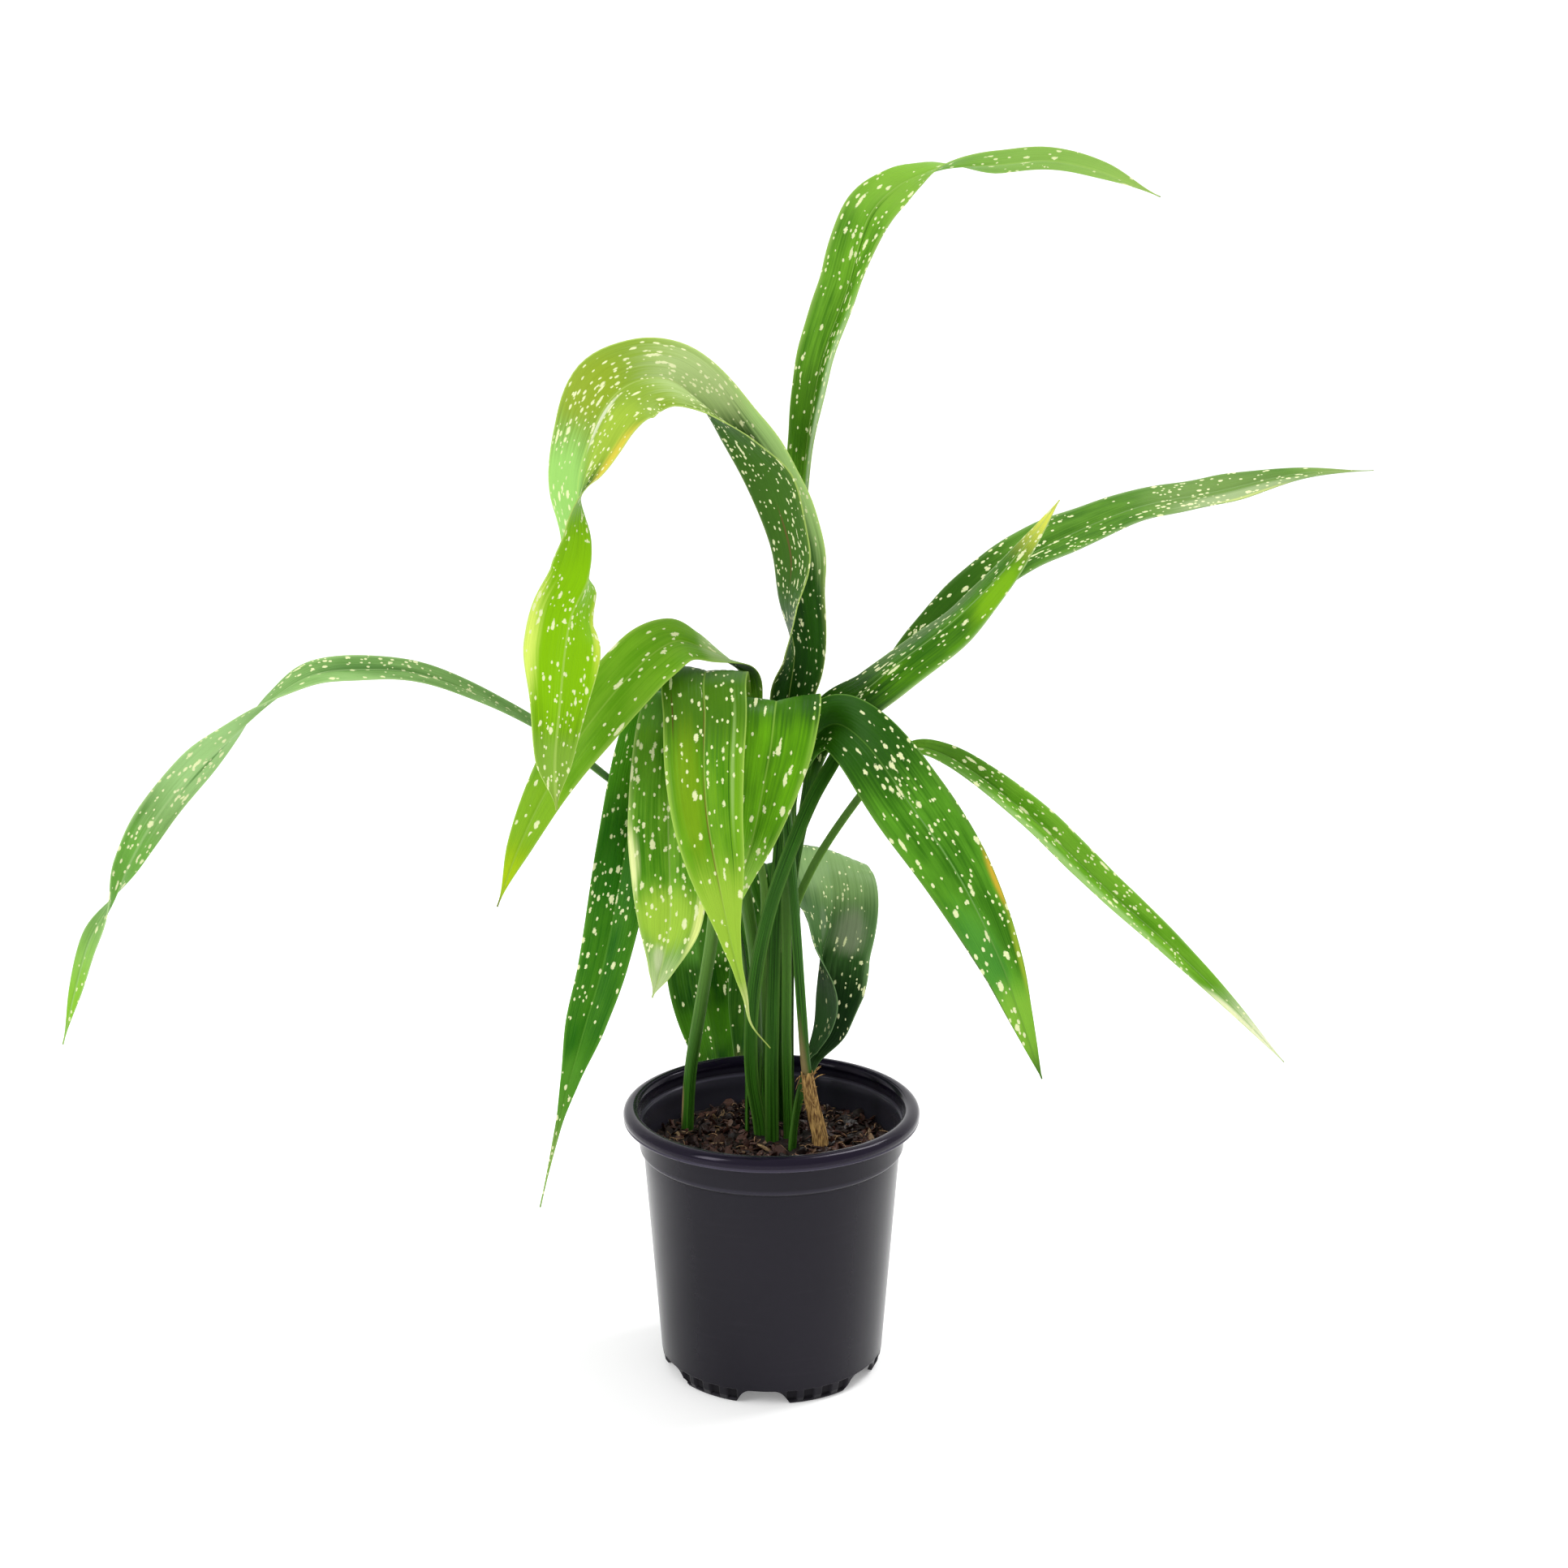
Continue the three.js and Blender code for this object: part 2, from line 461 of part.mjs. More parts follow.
// Soil: fills the pot to the shoulder, loosely heaped, with plain holes for the stalks and the rhizome
function soilTop(x, y) {
  const heap = 1.3 * Math.sin(x / 11 + 0.8) * Math.cos(y / 13) + 0.8 * Math.sin(x / 5.3 - y / 6.1);
  return SOIL_HEIGHT - 0.6 + heap * (1 - (Math.hypot(x, y) / SHOULDER_RADIUS) ** 4);
}

function soilSolid() {
  const low = FLOOR_TOP + RUNNING_GAP;
  const wallInside = (z) =>
    lerp(FLOOR_RADIUS, SHOULDER_RADIUS - WALL_THICKNESS, (z - FLOOR_TOP) / (SHOULDER_HEIGHT - 1 - FLOOR_TOP)) -
    SOIL_CLEARANCE;
  const topRadius = wallInside(SOIL_HEIGHT - 2.5);
  const profile = [[0, low], [wallInside(low), low]];
  for (let ring = SOIL_RINGS; ring >= 0; ring--) profile.push([(topRadius * ring) / SOIL_RINGS, SOIL_HEIGHT]);
  const geometry = turned(profile);
  const at = geometry.attributes.position;
  for (let i = 0; i < at.count; i++) {
    if (at.getZ(i) > SOIL_HEIGHT - 1) at.setZ(i, soilTop(at.getX(i), at.getY(i)));
  }
  return solidOf(geometry);
}

function soilMesh() {
  let solid = soilSolid().subtract(stockSolid(RUNNING_GAP));
  for (const [name, { spine, stalk }] of Object.entries(LEAVES)) {
    const [x, y] = spine[0];
    const radius = name === SHEATH.leaf ? SHEATH.radius + SHEATH.thickness + 1.5 : stalk + 1.2;
    const bottom = FOOT_HEIGHT - RUNNING_GAP - 0.5;
    const hole = new THREE.CylinderGeometry(radius, radius, 40, 10).rotateX(Math.PI / 2);
    solid = solid.subtract(solidOf(hole.translate(x, y, bottom + 20)));
  }
  return named("soil", geometryOf(solid), POTTING_SOIL);
}

// Dead sheath: a thin sleeve, open down one side, that ends in a ragged edge
function sheathMesh() {
  const leaf = { ...LEAVES[SHEATH.leaf], steps: 200 };
  const samples = spineSamples(leaf);
  const at = (height) => samples.find(({ centre }) => centre.z >= height);
  const rings = [];
  for (let i = 0; i <= SHEATH.steps; i++) {
    const wall = (j, radius) => {
      const top = SHEATH.top + SHEATH.ragged * Math.sin(2.4 * j);
      const { centre, across, up } = at(lerp(FOOT_HEIGHT + 0.5, top, i / SHEATH.steps));
      const turn = radians(-60 + (300 * j) / (SHEATH.sides - 1));
      const reach = radius + 0.5 * (i / SHEATH.steps) * Math.sin(1.9 * j + 0.6 * i);
      return centre.clone().addScaledVector(across, reach * Math.cos(turn)).addScaledVector(up, reach * Math.sin(turn));
    };
    const order = [...Array(SHEATH.sides).keys()];
    rings.push([
      ...order.map((j) => wall(j, SHEATH.radius)),
      ...order.toReversed().map((j) => wall(j, SHEATH.radius + SHEATH.thickness)),
    ]);
  }
  return named("dry_sheath", loft(rings), DRY_SHEATH);
}

const plant = new THREE.Group();
plant.add(potMesh());
plant.add(soilMesh());
plant.add(named("rhizome", geometryOf(stockSolid(0)), ROOT));
plant.add(sheathMesh());
for (const entry of Object.entries(LEAVES)) plant.add(leafMesh(entry));

export default plant;
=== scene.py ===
"""A cast iron plant in a round plastic nursery pot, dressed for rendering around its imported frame.

Sizes are millimetres unless a comment says otherwise, and the scene is in metres. The front view looks along
+Y, with +X to the right.
"""
import json
import math

import bpy
import numpy as np
from mathutils import Euler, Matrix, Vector


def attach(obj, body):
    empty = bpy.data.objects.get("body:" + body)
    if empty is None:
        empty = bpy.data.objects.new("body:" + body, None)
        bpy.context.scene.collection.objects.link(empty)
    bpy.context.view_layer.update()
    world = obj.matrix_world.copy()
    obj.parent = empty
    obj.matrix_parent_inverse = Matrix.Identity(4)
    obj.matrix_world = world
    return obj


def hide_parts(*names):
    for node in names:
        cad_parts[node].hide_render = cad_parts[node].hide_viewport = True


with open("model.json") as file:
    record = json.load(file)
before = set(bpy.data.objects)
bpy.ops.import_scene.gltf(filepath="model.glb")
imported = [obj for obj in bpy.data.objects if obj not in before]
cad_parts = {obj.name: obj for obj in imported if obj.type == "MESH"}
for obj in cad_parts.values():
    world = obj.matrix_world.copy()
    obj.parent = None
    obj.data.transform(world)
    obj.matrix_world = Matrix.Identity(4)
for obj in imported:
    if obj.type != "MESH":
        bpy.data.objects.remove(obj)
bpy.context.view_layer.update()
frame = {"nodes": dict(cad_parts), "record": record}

MM = 0.001
TURN = 2 * math.pi

# Camera
CAMERA_PLACE = (0.0069, -1.275, 0.643)  # metres
CAMERA_PITCH = 13.6  # degrees down
SENSOR = 36
LENS = SENSOR * 3000 / 1932  # the photograph's focal length, in pixels of its 1932 pixel frame

# Studio, in metres and watts
LIGHTS = {"key": ((1.3, 0.6, 2.4), 46), "fill": ((-1.9, -1.5, 1.9), 34)}
LIGHT_SIZE = (0.8, 1.6)
LIGHT_TARGET = (0, 0, 0.3)
ROOM_BRIGHTNESS = 0.8
FLOOR_HALF_WIDTH = 8
FLOOR_FRONT = -6
FLOOR_BACK = 3
BACKDROP_BEND = 1.2
BACKDROP_TOP = 6
FLOOR_DROP = 0.0002  # how far the floor lies below the pot's feet

# Pot
RIM_RADIUS = 82.5
POT_HEIGHT = 152
BEAD_HALF_WIDTH = 4.6  # the rolled rim
BEAD_HALF_HEIGHT = 4.4
FOOT_RADIUS = 59.6
FOOT_THICKNESS = 2.4
FLOOR_UNDERSIDE = 9.6
FLOOR_TOP = 11.2
FLOOR_RADIUS = 61
WALL_BASE_RADIUS = 62.6
SHOULDER_HEIGHT = 128
SHOULDER_RADIUS = 71.4
WALL_THICKNESS = 1.7
BAND_TOP = 142.5
BAND_RADIUS = 73.6
ARCH_COUNT = 6
FIRST_ARCH = -4.5  # degrees from the front
ARCH_HEIGHT = 8.6
ARCH_HALF_WIDTH = 15
SLOT_ANGLES = (-15, -6, 4, 14)  # degrees from the middle of each foot
SLOT_HALF_WIDTH = 2.75
SLOT_BOTTOM = 1.4
SLOT_TOP = 8.5
SLOT_DEPTH = 1.7
FOOT_SHADE = 0.5  # painted shade: how much darker and duller the foot ring is painted than the wall, where it lies low under the pot
POT_COLUMNS = 720

# Soil
SOIL_HEIGHT = 128
SOIL_EDGE = SOIL_HEIGHT - 3  # where the soil leaves the wall
SOIL_CLEARANCE = 0.45
SOIL_COLUMNS = 240
CHIP_COUNT = 1700
CHIP_LENGTHS = (2.8, 4.6, 6.8, 9.5)
CHIP_SHARES = (0.34, 0.3, 0.23, 0.13)
CHIP_TILT = 0.6  # radians
FIBRE_COUNT = 120

# Dead sheath
SHEATH_LEAF = "front_right"
SHEATH_RADIUS = 3.1
SHEATH_THICKNESS = 0.4
SHEATH_BOTTOM = 122
SHEATH_TOP = 168
SHEATH_START = -200  # degrees
SHEATH_SWEEP = 352  # degrees
SHEATH_TWIST = 1.6  # radians from the bottom to the top
SHEATH_STRANDS = 30

# Leaves
EDGE_THICKNESS = 0.55
RIB_THICKNESS = 1.2
STALK_THICKNESS = 3.2
STALK_FOLD = 20
STALK_BOTTOMS = (103, 128)  # just above the rhizome, and where a stalk leaves the soil
TIP_HALF_WIDTH = 0.35
OPENING_WIDTH = 6  # how much wider than the stalk a blade is once it has its own fold and thickness
BEND_WEIGHT = 22  # how much closer the rings lie where a leaf bends sharply
LEAF_RINGS = 190
LEAF_COLUMNS = 33

# Each leaf: heading is the way it arches, from +X towards +Y, stalk half its stalk's width, roll the stalk's
# roll, and foot the x and y where it rises. A point of its spine is x, y, z, then the roll, the fold of each
# half and half the width, where they aren't the stalk's. A plain blade has lance in place of widths: half its
# greatest width, where it starts along the leaf, and where along the blade it is widest. Angles are degrees.
LEAVES = {
    "tall": dict(heading=0, stalk=3.6, roll=-70, foot=(6, 41), spine=[
        (5, 41, 172), (10, 42, 257, -65), (12, 43, 337, -55, 25), (15, 45, 423, -45, 28, 4.2),
        (18, 48, 498, -42, 28, 10.5), (27, 50, 554, -45, 26, 14.6), (41, 52, 594, -45, 30, 17.2),
        (53, 52, 633, -54, 12, 16), (67, 50, 647, -44, 6, 14.2), (79, 49, 653, -25, 6, 12.8),
        (91, 47, 657, -3, 6, 12.5), (119, 44, 659, 32, 6, 11), (146, 42, 661, 38, 6, 8.6),
        (174, 39, 655, 45, 6, 6.2), (204, 36, 642, 40, 6, 1),
    ]),
    "arch": dict(heading=180, stalk=4, roll=80, foot=(0, 6), spine=[
        (0, 9, 183), (2, 14, 257), (7, 18, 322, 78, 20, 5), (9, 21, 374, 70, 20, 12.5),
        (12, 20, 405, 34, 22, 21.5), (5, 17, 432, 26, 42, 28.5), (1, 13, 460, 15, 62, 28.5),
        (-11, 8, 492, 13, 70, 29), (-24, 3, 517, 22, 62, 24.5), (-36, -2, 537.5, 38, 42, 20.5),
        (-50, -8, 549.5, 50, 24, 21), (-65, -14, 551, 55, 10, 22.5), (-79.5, -22, 543.5, 56, 5, 26.5),
        (-91, -33, 524, 55, 2, 23.5), (-97, -45, 497, 36, 8, 21), (-91, -56, 474, 10, 40, 20.5),
        (-92, -65, 456, -38, 24, 20.5), (-99.5, -74, 439, -60, 17, 20.5), (-102, -81, 424.5, -70, 13, 20.5),
        (-104.5, -89, 398, -76, 12, 15), (-107, -97, 369, -76, 14, 10), (-106, -104, 346, -76, 12, 1),
    ]),
    "right_high": dict(heading=17, stalk=4, roll=-60, foot=(-6, 16), spine=[
        (-11, 14, 165), (-10, 8, 212), (-1, -4, 264), (13, -11, 307), (23, -5, 329, -55), (34, 5, 346, -50),
        (53, 26, 375, -40, 24, 4.2), (81, 40, 405, -34, 24, 9.4), (125, 60, 439, -30, 20, 15.3),
        (158, 74, 455, -28, 14, 17), (205, 90, 472, -28, 8, 13.6), (252, 104, 479.5, -28, 6, 12.8),
        (300, 114, 488.5, -25, 5, 6.2), (344, 120, 490, -20, 5, 1),
    ]),
    "right_mid": dict(heading=0, stalk=3.6, roll=-60, lance=(19, 0.5, 0.45), foot=(10, 33), spine=[
        (10, 33, 216), (12, 33, 273), (18.5, 26, 312), (24, 14.5, 347, -50), (33, 8, 370, -38, 6),
        (51, 3, 385.5, -28, -10), (66, 2, 398.5, -27, -14), (82, 1, 411, -27, -14), (98, 1, 424, -27, -14),
        (119, 2, 445, -29, -12), (140, 4, 470.5, -32, -6), (152, 6, 487, -35, 0),
    ]),
    "right_droop": dict(heading=-15, stalk=3.8, roll=-60, lance=(20.5, 0.44, 0.42), foot=(10, 8), spine=[
        (9, 7, 181), (9, 7, 233), (9, 7, 279), (11, 8, 317), (16, 9, 343), (24, 4, 360),
        (35, -7, 369, -58, 16), (48, -19, 363, -60, 12), (72, -37, 334, -66, 8), (97, -50, 299, -70, 6),
        (120, -61, 254, -74, 6), (130, -66, 227, -76, 6), (142, -72, 193, -76, 6),
    ]),
    "right_low": dict(heading=-5, stalk=2.8, roll=-50, lance=(10.6, 0.45, 0.42), foot=(-8, 26), spine=[
        (-7, 26, 167), (-5, 26, 202), (0, 22, 223), (8, 18, 246), (24, 20, 284), (47, 20, 320, -45),
        (62, 18, 339, -40), (78, 17, 350, -40, 22), (95, 17, 346, -45, 24), (135, 14, 318, -48, 24),
        (188, 7, 269, -52, 24), (217, 2, 244, -55), (248, -5, 215, -60, 12), (281, -14, 181, -60, 8),
    ]),
    "left_far": dict(heading=205, stalk=2.3, roll=40, foot=(-14, 22), spine=[
        (-14, 21, 182), (-17, 18, 240), (-38, 5, 297), (-83, -18, 339, 40, 20, 2.8),
        (-125, -42, 378, 40, 20, 4.5), (-175, -72, 408, 40, 18, 7.2), (-201, -88, 414, 40, 14, 8),
        (-224, -103, 414, 30, 12, 8.5), (-241, -112, 405, 0, 10, 8.5), (-259, -122, 390, -45, 10, 9),
        (-278, -130, 373, -80, 10, 9.4), (-297, -138, 350, -85, 10, 9.2), (-309, -142, 330, -70, 8, 8),
        (-319, -145, 309, -10, 6, 6.5), (-329, -147, 292, 40, 6, 5.4), (-337, -149, 268, 50, 6, 4),
        (-345, -150, 240, 50, 6, 1),
    ]),
    "left_pale": dict(heading=205, stalk=3.6, roll=60, foot=(9, 23), spine=[
        (8, 24, 195), (7, 25, 267), (4, 26, 317), (1, 23, 346, 50), (-8.5, 14, 373, -10, 20, 5.5),
        (-14, 8, 393, -12, 16, 9.5), (-26, -1, 404, 10, 10, 11), (-37, -10, 411, 32, 6, 11),
        (-49, -20, 416, 42, 6, 14.5), (-63, -32, 410, 48, 6, 17), (-89, -51, 384, 55, 6, 16),
        (-111, -64, 353, 60, 6, 11.5), (-128, -77, 320, 60, 6, 6.5), (-139, -86, 291, 60, 6, 1),
    ]),
    "left_dark": dict(heading=235, stalk=3.4, roll=20, foot=(-2, 21), spine=[
        (-4, 20, 183), (-5, 20, 231), (-5, 22, 274), (-14, 22, 308), (-35, 17, 346, 20, 20, 3.6),
        (-50, 16, 373, 25, 16, 7.2), (-58, 9, 382, 30, 14, 9.6), (-64, -3, 375, 30, 12, 11.6),
        (-69, -17, 355, 30, 10, 13.8), (-76, -44, 309, 30, 8, 15.4), (-87, -69, 254, 30, 8, 12.8),
        (-95, -82, 228, 30, 8, 10.6), (-103.5, -94, 199, 30, 6, 4.6), (-109, -102, 178, 30, 6, 1.7),
        (-118, -114, 139, 30, 6, 1),
    ]),
    "front_yellow": dict(heading=-95, stalk=3.6, roll=0, foot=(-2, 35), spine=[
        (-6, 35, 180), (-10, 32, 230), (-15, 22, 268, 0, 20, 3.8), (-19, 11, 304, 0, 20, 5),
        (-28, 2, 339, 0, 20, 9), (-40, -14, 370, 0, 14, 12.5), (-46.5, -20, 385, 0, 10, 14.5),
        (-51, -29, 379, 0, 6, 17), (-53, -43, 352, 0, 4, 19.5), (-53, -54, 324, 0, 4, 21),
        (-52, -64, 297, 0, 4, 19.5), (-52, -71, 277, 0, 6, 16.5), (-57, -79, 253, 0, 12, 6.5),
        (-61, -82, 241, 0, 14, 1),
    ]),
    "front_centre": dict(heading=-90, stalk=3.6, roll=0, foot=(-48, 25), spine=[
        (-46, 27, 161), (-40, 28, 199), (-33, 28, 243), (-28, 27, 312, 0, 20, 5.5),
        (-25, 22, 350, 0, 18, 12), (-28, 11, 376, 3, 12, 17.5), (-32, -1, 392, 6, 6, 20.5),
        (-34, -14, 399, 6, 3, 21.8), (-35, -28, 395, 3, 3, 22), (-34, -42, 382, 0, 3, 21.5),
        (-34, -58, 358, 0, 4, 20.3), (-32, -70, 333, 0, 5, 18), (-28, -80, 312, 0, 6, 14.8),
        (-20, -94, 275, 0, 12, 5.2), (-16, -99, 260, 0, 20, 2.6), (-13, -102, 248, 40, 20, 2),
        (-10, -105, 235, 60, 20, 1.5), (0, -108, 223, 60, 20, 1),
    ]),
    "front_right": dict(heading=-80, stalk=2.8, roll=0, lance=(23.5, 0.56, 0.36), foot=(27, 1), spine=[
        (20, 2, 166), (17, 2, 202), (14, 0, 247), (11, -2, 289), (8, -3, 322), (5, -5, 352, 0, 14),
        (3, -10, 373, 0, 8), (3, -20, 384, 0, 4), (2, -31, 380, 0, 4), (0, -40, 364, 0, 4),
        (-4, -47, 344, 0, 4), (-9, -53, 320, 0, 4), (-15, -58, 299, 0, 5), (-20, -62, 278, 0, 6),
    ]),
    "back_right": dict(heading=85, stalk=3.6, roll=-60, foot=(11, -6), spine=[
        (13, 0, 145, -64, 30), (19.4, 19, 170, -66, 62, 7.6), (24.5, 27, 188, -64, 62, 20),
        (26, 35, 206, -60, 54, 27), (28.5, 44, 224, -46, 38, 27.5), (33, 54, 239, -34, 26, 27),
        (34, 64, 255, -26, 12, 27), (32, 76, 267, -18, 0, 26.5), (30, 92, 273, -14, -8, 25),
        (29, 108, 266, -10, -8, 22), (28, 123, 249, -4, 0, 17), (27, 134, 225, 0, 6, 9.5),
        (26, 142, 197, 0, 6, 1),
    ]),
    "back_left": dict(heading=95, stalk=3.6, roll=0, lance=(21, 0.3, 0.68), foot=(-6, 51), spine=[
        (-7, 54, 152), (-11, 60, 193), (-22, 72, 243, 0, 18), (-33, 86, 278, 0, 12), (-40, 98, 287, 0, 8),
        (-44, 112, 273, 0, 6), (-45, 124, 243, 0, 6), (-45, 131, 210, 0, 6), (-43, 135, 181, 0, 6),
        (-36, 139, 135, 0, 6), (-30, 140, 92, 0, 6),
    ]),
    "back_centre": dict(heading=90, stalk=3.6, roll=0, lance=(20.5, 0.34, 0.5), foot=(8, 53), spine=[
        (7, 57, 167), (4, 64, 207), (0, 77, 247, 0, 16), (-3, 92, 264, 0, 8), (-4, 104, 253, 0, 6),
        (-4, 112, 228, 0, 6), (-7, 117, 195, 0, 6), (-12, 119, 171, 0, 6), (-15, 120, 151, 0, 6),
        (-21, 121, 115, 0, 6),
    ]),
}

# Leaf colours that all the leaves share
CREAM = "#eef2bc"
STALK_DEEP = "#1a420a"
STALK_LIGHT = "#4c8a28"
# painted light: the paler green a stalk is painted higher up, out of the bundle's shade; its edges take it
# too
STALK_PALE = "#82b050"
